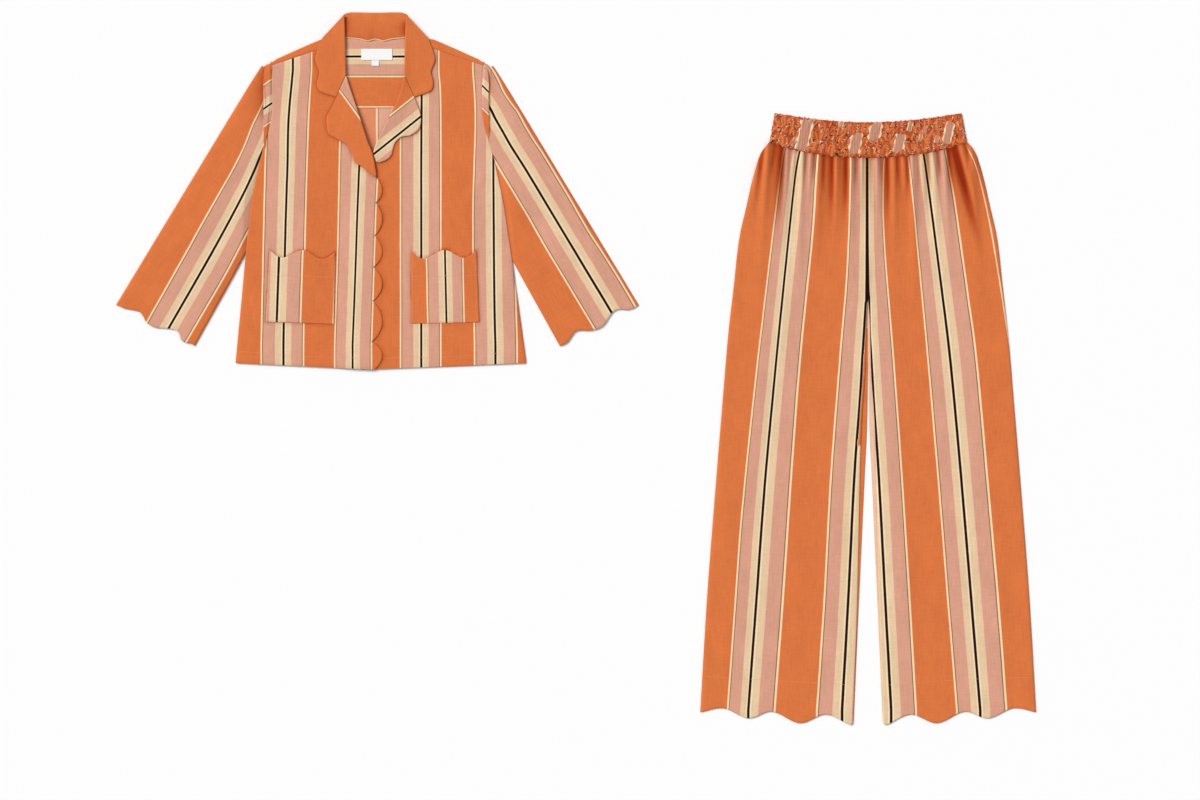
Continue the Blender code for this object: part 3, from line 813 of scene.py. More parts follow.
def yokeLining():
    low = jacket["yokeSeam"] + jacket["seamGap"]
    x = mix(-liningCloth["half"], liningCloth["half"], even(110))
    reach = np.abs(x)
    start, end = liningCloth["neckHalf"], liningCloth["shoulderX"]
    rise = mix(*liningCloth["neckRise"], (reach - start) / (end - start))
    neck = lookUp(backCloth["neckSeam"], reach) - liningCloth["belowCollar"]
    shoulder = lookUp(jacket["shoulderSeam"], reach) - liningCloth["belowSeam"]
    top = np.where(reach > end, shoulder, np.where(reach > start, rise, neck))
    y = mix(low, top[None, :], even(44)[:, None])
    grid = np.stack([np.broadcast_to(x, y.shape), y], axis=-1)
    surface = withHeight(grid, jacket["lining"])
    surface = rollEdges(surface, *liningCloth["edgeRoll"], sides="tb")
    weave = np.stack([grid[..., 1], grid[..., 0]], axis=-1)
    u = (grid[..., 1] - backCloth["liningBlackY"]) / backCloth["liningRepeat"]
    piece = clothPiece("yokeInside", surface, u, weave, striped, jacket["at"])
    area = flatArea(surface)
    declare(piece, "jacket_yoke_lining", (0.35, 0.12), area=area)


# Sleeves

sleeve = {
    "armhole": [(177, 497), (175.4, 488), (174.6, 450), (174.6, 430), (177.4, 397), (184.6, 370),
                (184.6, 351)],
    "outer": [(177, 495.5), (189, 487.5), (203, 471.5), (316.5, 285), (431, 96)],
    "inner": [(184.6, 351), (193, 300), (203, 240), (214, 192), (228, 160), (301, 28)],
    "cuff": {
        -1: [(0, 0), (0.108, -1.6), (0.253, -7.8), (0.33, -4), (0.40, 2.8), (0.494, 3.5), (0.58, -1.5),
             (0.68, -7.3), (0.76, -8), (0.83, 1), (0.88, 2.4), (0.95, -0.8), (1, 0)],
        1: [(0, 0), (0.07, 0.7), (0.14, -1.7), (0.217, -8.9), (0.286, -9.6), (0.351, -5.5), (0.435, 1.4),
            (0.504, 3.7), (0.606, 1), (0.716, -7.8), (0.772, -9.1), (0.824, -5.6), (0.894, -0.4),
            (0.949, 0.9), (1, 0)],
    },
    "puff": 2.8,
    "round": 16.0,  # mm over which the top rises from its long edges
    "foot": 1.5,  # its rise at the armhole
    "crown": 0.2,  # share that its middle stands higher
    "bed": 2.7,
    "under": 0.25,  # height of the lower layer
    "middle": 1.35,
    "hemRoll": (1.9, 3.6),
    "seamRoll": (0.8, 3.0),
    # highest that it may stand: under the body, for a mm clear of it, for a mm above a height
    "held": (2.4, 0.35, 0.15, 335),
    "sideShade": (0.4, 2.5, 340),  # painted shade: strength and reach beside the body, and up to where
    "repeat": 148.8,
    "underSeam": 2.4,  # mm that the cap goes in below the armhole's edge
    "creases": {
        -1: [((-200, 420), (-330, 130), 16, 1.0), ((-225, 300), (-290, 120), 12, -0.9),
             ((-200, 330), (-235, 210), 10, 0.9), ((-300, 250), (-372, 110), 11, 0.7)],
        1: [((205, 430), (345, 140), 16, 1.0), ((235, 290), (300, 110), 12, -0.9),
            ((205, 330), (240, 200), 10, 0.9), ((320, 240), (385, 120), 11, 0.7)],
    },
}

# Fullness of each cap lies folded along the armhole. Rows give y, the seam's x and the fold's x.
capFolds = {
    -1: {
        "edge": [(300, 182, 182), (340, 184.6, 184.6), (356, 181.5, 186.8), (372, 179.5, 187.2),
                 (406, 177, 187.2), (434, 174, 187.8), (468, 173.5, 187.5), (482, 173.5, 186),
                 (492, 174.5, 178), (500, 177, 177)],
        "slant": 0.72,
        "stripes": [(345, 0.6), (389.4, 0.285), (418.3, 0.0), (457.9, -0.285), (490, -0.5), (560, -0.5)],
        "from": -187.1,
        "shade": (442, 42, 8.5, 1.0),  # painted shade: middle and half length along the fold, reach, strength
    },
    1: {
        "edge": [(300, 182, 182), (352, 185.5, 185.5), (368, 184.2, 184.8), (378, 181.5, 184.8),
                 (393, 174, 184.8), (414, 170.8, 184.4), (442, 171.4, 184), (459, 172.9, 184.8),
                 (480, 175.2, 183), (490, 177, 177), (500, 177, 177)],
        "slant": -1.0,
        "stripes": [(375, 0.6), (419.9, 0.285), (457, 0.0), (493.4, -0.285), (540, -0.5)],
        "from": 173.4,
        "shade": (452, 26, 6.5, 0.55),
    },
    "height": 1.6,
    "recess": 1.5,
    "recessReach": 9.0,
    "full": 6.0,  # mm wide where a fold stands to its full height
    "rise": (0.5, 4.0),  # mm that it starts before the seam, and that it takes
    "drop": (0.7, 1.9),  # the same at its edge
}


def capFold(side, x, y):  # height, whether on the fold, its stripes and the painted shade beside it
    table = capFolds[side]
    heights, seam, edge = np.array(table["edge"]).T
    width = np.interp(y, heights, edge - seam)
    away = np.abs(x) - np.interp(y, heights, seam)
    strength = np.clip(width / capFolds["full"], 0, 1)
    onFold = (away < width) & (width > 0.4)
    (before, up), (early, down) = capFolds["rise"], capFolds["drop"]
    rise = ease((away + before) / up) * (1 - ease((away - width + early) / down))
    past = np.maximum(0, away - width)
    dip = capFolds["recess"] * np.exp(-(past / capFolds["recessReach"]) ** 1.4) * (away > width)
    height = strength * (capFolds["height"] * rise - dip)
    along = y - table["slant"] * (x - table["from"])
    places, values = np.array(table["stripes"]).T
    u = np.interp(along, places, values)
    # painted shade just past the fold's edge
    middle, half, reach, most = table["shade"]
    window = np.exp(-((y - middle) / half) ** 4)
    shade = most * window * np.exp(-past / reach) * (away > width - 0.5) * strength
    return height, onFold, u, shade


def makeSleeve(name, node, side):
    at = jacket["at"]
    armhole, outerLine, innerLine = (smoothLine(sleeve[k]) for k in ("armhole", "outer", "inner"))
    elbow, cuff = np.array(sleeve["outer"][-2:], float)
    down = (cuff - elbow) / np.linalg.norm(cuff - elbow)
    vs = np.concatenate([np.linspace(0, 0.075, 42)[:-1], np.linspace(0.075, 0.97, 100)[:-1],
                         np.linspace(0.97, 1, 8)])
    start, end = readLine(outerLine, vs), readLine(innerLine, vs)
    width = np.linalg.norm(end - start, axis=1)
    shares = 0.01 + 0.98 * even(84)
    angles = np.radians(np.linspace(75, -75, 9))
    middle = sleeve["middle"]

    def place(share):  # share: rows x columns
        point = start[:, None] + (end - start)[:, None] * share[..., None]
        cap = readLine(armhole, share.ravel()).reshape(*share.shape, 2)
        first, last = np.array(sleeve["armhole"][0]), np.array(sleeve["armhole"][-1])
        flat = first + (last - first) * share[..., None]
        point = point + (cap - flat) * ((1 - vs) ** 4)[:, None, None]
        wave = lookUp(sleeve["cuff"][side], share.ravel()).reshape(share.shape)
        wave = wave * ease(vs * 8 - 7)[:, None]
        point = point + down * wave[..., None]
        point[..., 0] -= sleeve["underSeam"] * np.clip(1 - vs * 70, 0, 1)[:, None]
        return np.stack([side * point[..., 0], point[..., 1]], axis=-1)

    full = mix(sleeve["foot"], sleeve["puff"], ease(vs * 4)) * (1 - 0.5 * ease(vs * 3 - 2))
    onTop = np.broadcast_to(shares, (len(vs), len(shares)))
    flat = place(onTop)
    inwards = np.minimum(onTop, 1 - onTop) * width[:, None]  # mm from the nearer long edge
    hump = arch(inwards, sleeve["round"])
    x, y = flat[..., 0], flat[..., 1]
    crown = 1 - sleeve["crown"] + sleeve["crown"] * np.sin(np.pi * onTop)
    z = sleeve["bed"] + full[:, None] * hump * crown
    z = z + softRelief(x, y, sleeve["creases"][side]) * hump * ease(vs * 8)[:, None]
    height, onFold, foldStripe, shade = capFold(side, x, y)
    z = z + height * hump
    clear = side * (x - sideX(side, y))  # mm that a point lies out from under the body
    least, outwards, upwards, above = sleeve["held"]
    z = np.minimum(z, least + outwards * np.maximum(0, clear) + upwards * np.maximum(0, y - above))
    # painted shade on the sleeve beside the body's side edge, joined to the fold's painted shade
    strength, reach, below = sleeve["sideShade"]
    shade = np.maximum(shade, strength * np.exp(-np.abs(clear) / reach) * (y < below))
    topSide = withHeight(flat, z)
    topSide = rollEdges(topSide, *sleeve["hemRoll"], sides="b")
    topSide = rollEdges(topSide, *sleeve["seamRoll"], sides="t")
    underSide = withHeight(place(onTop[:, ::-1]), sleeve["under"])

    def fold(turn, far):  # the rounded long edges
        cols = []
        for a in turn:
            share = (middle - middle * math.cos(a)) / width
            if far:
                share = 1 - share
            rise = middle + (middle - 0.1) * math.sin(a)
            cols.append(withHeight(place(share[:, None]), rise))
        return np.concatenate(cols, axis=1)

    tube = np.concatenate([topSide, fold(angles, True), underSide, fold(angles[::-1], False)], axis=1)
    x, y = tube[..., 0], tube[..., 1]
    lines = stripes["sleeve" + ("Left" if side > 0 else "Right")]
    u = np.clip(stripeAt(x, y, lines, sleeve["repeat"]), -0.5, 0.5)
    count = len(shares)
    u[:, :count] = np.where(onFold, foldStripe, u[:, :count])
    paintedShade = np.zeros(u.shape)
    paintedShade[:, :count] = shade
    turnX, turnY = side * down[0], down[1]
    weave = np.stack([x * turnY - y * turnX, x * turnX + y * turnY], axis=-1)
    piece = clothPiece(name, tube, u, weave, striped, at, around=True, paintedShade=paintedShade)
    declare(piece, node, (0.32, 0.46), area=2 * flatArea(topSide))


# Pockets, lapels, collar

pocketCloth = {
    "wall": 0.8,
    "puff": 0.7,
    "edgeRoll": (0.8, 2.2),
    "edgeRows": [0, 0.4, 1.0, 1.6],  # mm from its lower and upper edge
    "width": (112.0, 108.0),
    "height": 118.5,
    "wave": [(0, 0), (0.2, -12), (0.51, 1.5), (0.8, -12), (1, 0)],
    "lift": 1.4,
    "places": {
        "pocketRight": ("jacket_pocket_right", -127.5, 66, -2.0,
                        [(0.0, -38.0), (0.285, 1.5), (0.715, 55.0)]),
        "pocketLeft": ("jacket_pocket_left", 112.5, 66, 1.2,
                       [(-0.285, -29.0), (0.0, 2.0), (0.285, 31.2)]),
    },
}


def makePocket(name, node, x0, y0, tilt, lines):
    over = x0 < 0
    bottom, upper = pocketCloth["width"][0] / 2, pocketCloth["width"][1] / 2
    tall = pocketCloth["height"]
    shares = closeAtEnds(70, 110, 1.6)
    close = np.array(pocketCloth["edgeRows"]) / tall
    first = 2.4 / tall
    levels = np.concatenate([close, np.linspace(first, 1 - first, 60), 1 - close[::-1]])[:, None]
    half = mix(bottom, upper, levels)
    px = mix(-half, half, shares[None, :])
    wave = lookUp(pocketCloth["wave"], shares)[None, :] * ease(levels * 3 - 2)
    py = tall * levels + wave
    grid = tilted(px, py, x0, y0, tilt)
    base = frontTop(grid[..., 0], grid[..., 1], over)
    fullX = np.sin(np.pi * shares)[None, :] ** 0.7
    fullY = np.sin(np.pi * np.clip(levels, 0, 1) * 0.9) ** 0.7
    top = withHeight(grid, base + pocketCloth["lift"] + pocketCloth["puff"] * fullX * fullY)
    top = rollEdges(top, *pocketCloth["edgeRoll"])
    places = [p for p, _ in lines]
    spots = [s for _, s in lines]
    u = np.interp(px, spots, places)
    for past, k in ((px < spots[0], 0), (px > spots[-1], -1)):
        u = np.where(past, places[k] + (px - spots[k]) / body["repeat"], u)
    weave = np.stack([px, py], axis=-1)
    hemRow = int(np.argmin(np.abs(levels[:, 0] - threadWork["pocketHem"])))
    seams = [top[hemRow, 3:-3], np.vstack([top[:4:-1, 4], top[4, 4:-4], top[4:, -5]])]
    pocketSeams.extend(seam + np.array([0, 0, threadWork["lift"]]) for seam in seams)
    piece = clothPiece(name, top, u, weave, striped, jacket["at"], wall=pocketCloth["wall"])
    declare(piece, node, (0.112, 0.122), area=flatArea(top))


lapels = {
    "right": {
        "edge": [(-67.5, 437.5), (-75, 421), (-83, 405), (-82, 385), (-79, 377), (-62, 367), (-49, 359),
                 (-41, 343), (-36, 331), (-23, 322), (-5, 308)],
        "roll": [(-52, 472), (-34, 418), (-17, 366), (-8, 343), (-2, 309)],
        "line": ((-62.2, 448.8), (-33.7, 409.7)),  # where a thin cream stripe runs
        "place": -bandEdge,
    },
    "left": {
        "edge": [(61.5, 437.5), (71, 413), (72, 395), (67, 382), (55, 375), (42, 373), (32, 366),
                 (27, 356), (24, 343), (16, 335), (4, 330)],
        "roll": [(46, 472), (39, 444), (26, 414), (10, 382), (-4, 350), (0, 332)],
        "line": ((71.9, 405.9), (-8.1, 342)),  # where a black thread runs
        "place": 0.0,
    },
    "repeat": 115.8,
    "lift": 2.3,
    "rollRise": 1.6,
    "rollRadius": 1.5,
    "edgeRoll": (1.3, 2.6),
    "tipRoll": (0.35, 1.6),
}


def makeLapel(word):
    shape = lapels[word]
    count = 90
    edge, roll = spaced(shape["edge"], count), spaced(shape["roll"], count)
    shares = np.concatenate([np.array([0, 0.01, 0.03, 0.06]), np.linspace(0.1, 1, 26)])
    grid = ruled(edge, roll, shares)
    z = frontTop(grid[..., 0], grid[..., 1], word == "right") + lapels["lift"]
    long = np.linalg.norm(roll - edge, axis=1)[:, None]
    z = z + lapels["rollRise"] * shares[None, :] ** 3 * np.minimum(1, long / 30)
    top = withHeight(grid, z)
    top = rollEdges(top, *lapels["edgeRoll"], sides="l")
    top = rollEdges(top, *lapels["tipRoll"], sides="b")
    direction = np.gradient(roll, axis=0)
    direction /= np.linalg.norm(direction, axis=1)[:, None]
    outward = np.stack([direction[:, 1], -direction[:, 0]], axis=-1)
    outward *= np.sign((outward * (roll - edge)).sum(axis=1))[:, None]
    radius = lapels["rollRadius"]
    turned = []
    for a in np.radians(cloth["turn"]):
        point = roll + outward * radius * math.sin(a)
        turned.append(np.concatenate([point, (z[:, -1] - radius * (1 - math.cos(a)))[:, None]], axis=1))
    top = np.concatenate([top, np.stack(turned, axis=1)], axis=1)
    u = shape["place"] + fromLine(top[..., 0], top[..., 1], *shape["line"]) / lapels["repeat"]
    u = np.clip(u, -0.5, 0.5)
    word = word.capitalize()
    piece = clothPiece("lapel" + word, top, u, top[..., :2], striped, jacket["at"])
    node = "jacket_lapel_" + word.lower()
    declare(piece, node, (0.07, 0.19), area=flatArea(top))


collar = {
    "x": -3.0,
    "edge": [(65, 438), (73, 441), (83, 444), (93.5, 450), (96, 462), (92.5, 477), (93.5, 484),
             (99, 499), (96, 514), (87, 536)],
    "roll": [(49.5, 473), (50.5, 520), (52, 573)],
    "backTop": 579.0,
    "backEdge": 533.5,
    "backHalf": 76.0,
    "rollHalf": 52.3,
    "seamHalf": 58.0,
    "top": 6.5,
    "rise": 1.8,
    "foldRadius": 3.1,
    "rollRadius": 1.25,
    "turnRadius": 1.6,
    "standRows": 20,
    "edgeRoll": (1.4, 2.6),
    "edgeUpTo": 530.0,
    # painted shade in the corners behind the roll: side, y, half height, reach
    "nooks": [(-1, 556, 15, 5.0), (1, 551, 13, 8.0)],
    "nookX": 48.5,
    "seamShade": (0.45, 3.0),  # painted shade along the neck seam: strength, and the rows it covers
    "sag": (1.35, 4.2, 0.9),  # of the roll at the back: all along, at its ends, in its middle
    "backLow": 0.3,
    "backRoll": 1.5,
    "standTop": 3.0,
    "hollow": (0.9, 0.8),  # of the stand's middle, and of its ends
    "endDrop": 0.35,
    "pale": 0.284,  # the place in the repeat at the seam's edge
}


def makeCollar():
    # stations run round the neck, rows from the free edge over the roll to the neck seam
    fallShares = np.concatenate([np.array([0, 0.012, 0.035, 0.07]), np.linspace(0.12, 1, 22)])
    inner, standRows = len(fallShares), collar["standRows"]
    middleX = collar["x"]
    edge, roll = spaced(collar["edge"], 64), spaced(collar["roll"], 64)
    stations = []
    kinds = []

    def rollProfile(s):
        return collar["rise"] * s ** 3

    def addStation(kind, points):  # short ones end in copies of their last point
        stations.append(points + [points[-1]] * (inner + standRows - len(points)))
        kinds.append(kind)

    def addFronts(side, pairs):  # the roll turns under towards the neck
        radius = collar["turnRadius"]
        for free, rolled in pairs:
            points = []
            for s in fallShares:
                x, y = mix(free, rolled, s)
                points.append((middleX + side * x, y, collar["top"] + rollProfile(s)))
            x, y, z = points[-1]
            for a in np.radians(cloth["turn"]):
                points.append((x - side * radius * math.sin(a), y, z - radius * (1 - math.cos(a))))
            addStation("turn", points)

    def sideStations(side):  # the fall goes round the shoulder
        radius = collar["foldRadius"]
        start, end = np.array(collar["edge"][-1], float), np.array(collar["roll"][-1], float)
        out = np.array([end[1] - start[1], start[0] - end[0]]) / np.linalg.norm(end - start)
        made = []
        for a in np.radians(np.linspace(78, -90, 15)):
            away = radius * math.cos(a) - radius
            z = radius + radius * math.sin(a)
            rise = (1 + math.sin(a)) / 2
            points = []
            for s in fallShares:
                x, y = mix(start, end, s) + out * away
                points.append((middleX + side * x, y, z + rollProfile(s) * rise))
            made.append(points)
        return made

    def addBack(across):
        radius = collar["rollRadius"]
        level, ends, mid = collar["sag"]
        topY = collar["backTop"] - level - ends * np.abs(across) ** 9 - mid * np.cos(across * 1.5) ** 2
        rolledX = middleX + across * collar["rollHalf"]
        points = []
        for s in fallShares:
            x = mix(middleX + across * collar["backHalf"], rolledX, s)
            points.append((x, mix(collar["backEdge"], topY, s), collar["backLow"]))
        for a in np.radians([-60, -30, 0, 30, 60]):
            z = collar["backRoll"] + radius * math.sin(a)
            points.append((rolledX, topY + radius * math.cos(a), z))
        aside = across * collar["seamHalf"]
        seamY = float(lookUp(backCloth["neckSeam"], abs(aside))) + 0.3
        for s in 1 - np.linspace(1, 0, standRows - 5) ** 1.25:
            middle, ends = collar["hollow"]
            z = collar["standTop"] + (middle * math.sin(math.pi * s) - ends * abs(across) ** 12)
            points.append((mix(rolledX, middleX + aside, s), mix(topY, seamY, s), z))
        addStation("whole", points)

    addFronts(-1, zip(edge, roll))
    for points in sideStations(-1):
        addStation("fall", points)
    for across in np.linspace(-1, 1, 41):
        addBack(across)
    for points in sideStations(1)[::-1]:
        addStation("fall", points)
    addFronts(1, zip(edge[::-1], roll[::-1]))

    top = np.array(stations).transpose(1, 0, 2)
    row = np.arange(top.shape[0])[:, None]
    whole, turn = (np.array([kind == wanted for kind in kinds]) for wanted in ("whole", "turn"))
    bothWhole, bothTurn = (kind[:-1] & kind[1:] for kind in (whole, turn))
    keep = (row[:-1] < inner - 1) | bothWhole | ((row[:-1] < inner + 4) & bothTurn)
    fromEdge = np.linalg.norm(top[..., :2] - top[:1, :, :2], axis=-1)
    depth, reach = collar["edgeRoll"]
    fall = (np.abs(top[..., 1]) < collar["edgeUpTo"]) & (row < inner)
    top[..., 2] -= np.where(fall, depth * roundOff(fromEdge, reach), 0)
    column = np.arange(top.shape[1])
    top[..., 2] -= collar["endDrop"] * (1 - ease(np.minimum(column, column[::-1]) / 1.5))
    u = np.full(top.shape[:2], 0.5)
    u[-2:, whole] = collar["pale"]
    across = top[..., 0] - middleX
    # painted shade along the neck seam and in the corners behind the roll
    strength, rows = collar["seamShade"]
    paintedShade = strength * np.exp(-row[::-1] / rows) * whole
    for towards, middle, tall, wide in collar["nooks"]:
        gap = np.maximum(0, collar["nookX"] - towards * across)
        window = np.exp(-((top[..., 1] - middle) / tall) ** 4) * np.exp(-gap / wide)
        paintedShade = np.maximum(paintedShade, window * whole * (row > inner + 4))
    piece = clothPiece("collar", top, u, top[..., :2], striped, jacket["at"], keep=keep, paintedShade=paintedShade)
    declare(piece, "jacket_collar", (0.42, 0.10),
            area=flatArea(top, keep))


labels = {
    "neckLabel": ("jacket_neck_label", -26.0, 499.3, 25.0, 518.0),
    "sizeTab": ("jacket_size_tab", -9.0, 490.0, 3.0, 499.0),
    "top": 3.9,
    "wall": 0.4,
    "edgeRoll": (0.35, 0.9),
    "sewnIn": 1.5,
}


def makeLabel(name):
    node, x0, y0, x1, y1 = labels[name]
    xs = mix(x0, x1, closeAtEnds(24, x1 - x0, 0.5))
    ys = mix(y0, y1, closeAtEnds(12, y1 - y0, 0.5))
    grid = np.stack(np.meshgrid(xs, ys), axis=-1)
    top = withHeight(grid, labels["top"])
    top = rollEdges(top, *labels["edgeRoll"])
    piece = clothPiece(name, top, 0.5, grid, labelFinish, jacket["at"], wall=labels["wall"])
    flat = ((x1 - x0) * mm, (y1 - y0 + labels["sewnIn"]) * mm)
    declare(piece, node, flat, area=flatArea(top))


# Trousers

legs = {
    "frontTop": 3.1,
    "backTop": 1.1,
    "backInset": 2.5,
    "bandGap": 0.2,
    "hemShare": 0.06,  # share of the leg's length that the hem's wave takes
    "mirror": 1.715,  # stripes turn round past this place
    # past the black thread the right leg's inner fold is orange: place, lowest and highest y; above the
    # highest it is painted black as the shade where the legs meet
    "orangeFold": (0.02, 440, 676),
    "backShift": (0.30, 0.12),  # of the backs' stripes, right and left
    "lowest": 2.3,
    "fullness": 2.2,
    "repeat": 148.0,
    "backRoll": (0.3, 2.5),
    "outerRoll": (1.7, 5.0),
    "innerRoll": (0.9, 3.0),
    "riseRoll": 0.35,  # depth of the inner edge from riseY up, where the legs meet
    "riseY": 690,
    "crotchShade": {"strength": 0.9, "from": 670, "y": 680, "tall": 75, "wide": 4},
    "creases": [
        ((-150, 860), (-215, 300), 22, 1.2),
        ((-60, 850), (-100, 350), 26, -0.7),
        ((-30, 560), (-70, 60), 22, 1.0),
        ((150, 860), (205, 320), 22, 1.2),
        ((60, 850), (95, 350), 26, -0.7),
        ((30, 560), (70, 60), 22, 1.0),
        ((134, 918), (172, 780), 8, 1.4),
        ((-200, 300), (-240, 20), 20, 0.9),
        ((205, 290), (235, 20), 20, 0.9),
    ],
}

gatherLook = {
    "spread": (0.75, 0.7),  # share of the half width at the band, and what it grows by
    "hollow": (0.75, 2.6, 80),  # painted shade of the low places, the height without it, how far down
    "ripple": (0.35, 80),
    "contact": (0.5, 3.0),  # painted shade under the band and its reach
}

# Gathers below the band: x at the band, drift down the leg, length, half width, height, painted shade
gathers = {
    "Right": [
        (-181, -16, 170, 6.5, 1.8, 0), (-166, -15, 260, 7.5, 2.4, 0), (-134, -11, 230, 6.0, 2.2, 0),
        (-122, -7, 90, 3.6, 1.3, 0), (-109, -9, 280, 6.5, 1.8, 0), (-95, -5, 120, 4.5, 1.6, 0),
        (-81, -7, 205, 6.5, 2.3, 0), (-52, -4, 170, 5.5, 2.0, 0), (-28, -3, 240, 6.0, 1.7, 0),
        (-12, -1, 110, 4.0, 1.2, 0),
        (-141, -11, 190, 6.0, -1.8, 1.7), (-153, -9, 70, 2.8, -0.9, 0.7), (-88, -3, 60, 2.4, -0.7, 0.5),
        (-72, -2, 75, 2.8, -1.0, 0.65), (-60, -1, 140, 3.8, -1.4, 1.2), (-37, -1, 130, 3.6, -1.5, 1.35),
        (-103, -5, 75, 2.6, -0.8, 0.4), (-20, -1, 60, 2.2, -0.8, 0.45), (-172, -15, 140, 3.8, -1.0, 0.6),
    ],
    "Left": [
        (14, 2, 150, 5.0, 1.5, 0), (41, 4, 210, 6.0, 2.0, 0), (57, 5, 95, 4.0, 1.5, 0),
        (72, 7, 270, 6.5, 2.2, 0), (88, 6, 130, 4.0, 1.3, 0), (106, 10, 190, 6.0, 2.1, 0),
        (123, 16, 240, 6.0, 2.0, 0), (152, 30, 160, 6.0, 2.3, 0), (168, 20, 280, 7.0, 1.9, 0),
        (31, 1, 140, 3.6, -1.3, 1.2), (22, 1, 55, 2.2, -0.8, 0.5), (49, 2, 65, 2.6, -0.9, 0.5),
        (65, 3, 90, 3.2, -0.9, 0.7), (97, 6, 80, 2.8, -1.0, 0.6), (115, 6, 60, 2.6, -0.8, 0.55),
        (132, 9, 100, 3.6, -1.0, 1.3), (141, 54, 215, 6.0, -2.4, 2.3), (160, 26, 120, 3.2, -0.8, 0.5),
    ],
}


def gather(x, y, word):  # folds that start at the band and die down the leg, and the painted shade in them
    fall = lookUp(trousers["bandSeam"], x) - y
    z, paintedShade = np.zeros(x.shape), np.zeros(x.shape)
    first, grows = gatherLook["spread"]
    for start, drift, length, width, height, shade in gathers[word]:
        t = np.clip(fall / length, 0, 1)
        off = (x - start - drift * t) / (width * (first + grows * t))
        shape = np.exp(-off ** 2) * (1 - ease(t))
        z += legs["fullness"] * height * shape
        paintedShade += shade * shape
    dark, clear, reach = gatherLook["hollow"]
    hollow = dark * np.clip(1 - z / clear, 0, 1) ** 1.5 * np.exp(-(fall / reach) ** 2)
    small, reach = gatherLook["ripple"]
    ripple = small * np.sin(x * 0.9 + 2 * np.sin(x * 0.13)) * (1 - ease(fall / reach))
    strength, reach = gatherLook["contact"]
    paintedShade = paintedShade + hollow + strength * np.exp(-np.maximum(fall, 0) / reach)
    return z + ripple, np.clip(paintedShade, 0, 2)


def legGrid(side, innerTable, inset, shares, levels):
    outer, seam = trousers["outer"], trousers["bandSeam"]
    gap = legs["bandGap"]
    innerY = mix(innerTable[0][0], innerTable[-1][0] - gap, levels)
    outerY = mix(outer[0][0] + inset, outer[-1][0] - gap, levels)
    left = np.stack([side * (lookUp(outer, outerY) - inset), outerY], axis=-1)
    right = np.stack([side * lookUp(innerTable, innerY), innerY], axis=-1)
    grid = ruled(left, right, shares)
    ends = mix(left[-1], right[-1], np.asarray(shares)[:, None])
    upper = (lookUp(seam, ends[:, 0]) - gap - ends[:, 1])[None, :] * ease(levels * 1.3 - 0.3)[:, None]
    hem = lookUp(trousers["hem"], shares)[None, :] * (1 - ease(levels / legs["hemShare"]))[:, None]
    grid[..., 1] += upper + hem
    return grid


def legHeight(x, y, word):
    folds, paintedShade = gather(x, y, word)
    return np.maximum(legs["lowest"], legs["frontTop"] + folds + softRelief(x, y, legs["creases"])), paintedShade


# painted shade where the legs meet
def crotchShade(x, y):
    look = legs["crotchShade"]
    window = ease((y - look["from"]) / 12) * np.exp(-((y - look["y"]) / look["tall"]) ** 2)
    return look["strength"] * window * np.exp(-(x / look["wide"]) ** 2)


def backStripe(x, y, word):  # where the back shows past the front
    line = legStripe(x, y, word)
    right, left = legs["backShift"]
    if word == "Right":
        return np.where(x > -60, np.where(y > 636, 0.2, 0.5), line - right)
    return np.where(x < 40, 0.105, line - left)


def makeLegs():
    at = trousers["at"]
    low = np.array([0, 0.0005, 0.0012, 0.002, 0.003])
    levels = np.concatenate([low, np.linspace(0.005, 0.7, 130), np.linspace(0.7, 1, 90)[1:]])
    for side, word in ((-1, "Right"), (1, "Left")):
        front, back = "leg" + word + "Front", "leg" + word + "Back"
        shares = closeAtEnds(46, 230, 2.4)
        grid = legGrid(side, trousers["backInner"], legs["backInset"], shares, levels[::2])
        top = withHeight(grid, legs["backTop"])
        top = rollEdges(top, *legs["backRoll"], sides="lrb")
        u = backStripe(grid[..., 0], grid[..., 1], word)
        piece = clothPiece(back, top, u, grid, striped, at)
        node, area = "trousers_back_" + word.lower(), flatArea(top)
        declare(piece, node, (0.30, 0.96), area=area)

        shares = closeAtEnds(118, 230, 2.4)
        grid = legGrid(side, trousers["inner"], 0.0, shares, levels)
        x, y = grid[..., 0], grid[..., 1]
        z, paintedShade = legHeight(x, y, word)
        top = withHeight(grid, z)
        node, area = "trousers_front_" + word.lower(), flatArea(top)
        top = rollEdges(top, *legs["outerRoll"], sides="l")
        depth, reach = legs["innerRoll"]
        top = rollEdges(top, np.where(y > legs["riseY"], legs["riseRoll"], depth), reach, sides="r")
        top = rollEdges(top, depth, reach, sides="b")
        paintedShade = np.maximum(paintedShade, crotchShade(x, y))
        piece = clothPiece(front, top, legStripe(x, y, word), grid, striped, at, paintedShade=paintedShade)
        declare(piece, node, (0.30, 0.98), area=area)


def legStripe(x, y, word):
    u = stripeAt(x, y, stripes["leg" + word], legs["repeat"])
    if word == "Right":
        past, low, high = legs["orangeFold"]
        u = np.where((u > past) & (y > low) & (y < high), 0.5, u)
        # above the highest y the cloth past the black thread is painted black, standing in for the shade
        # where the legs meet
        u = np.where(y >= high, np.minimum(u, 0.01), u)
    return np.where(u > legs["mirror"], 2 * legs["mirror"] - u, u)


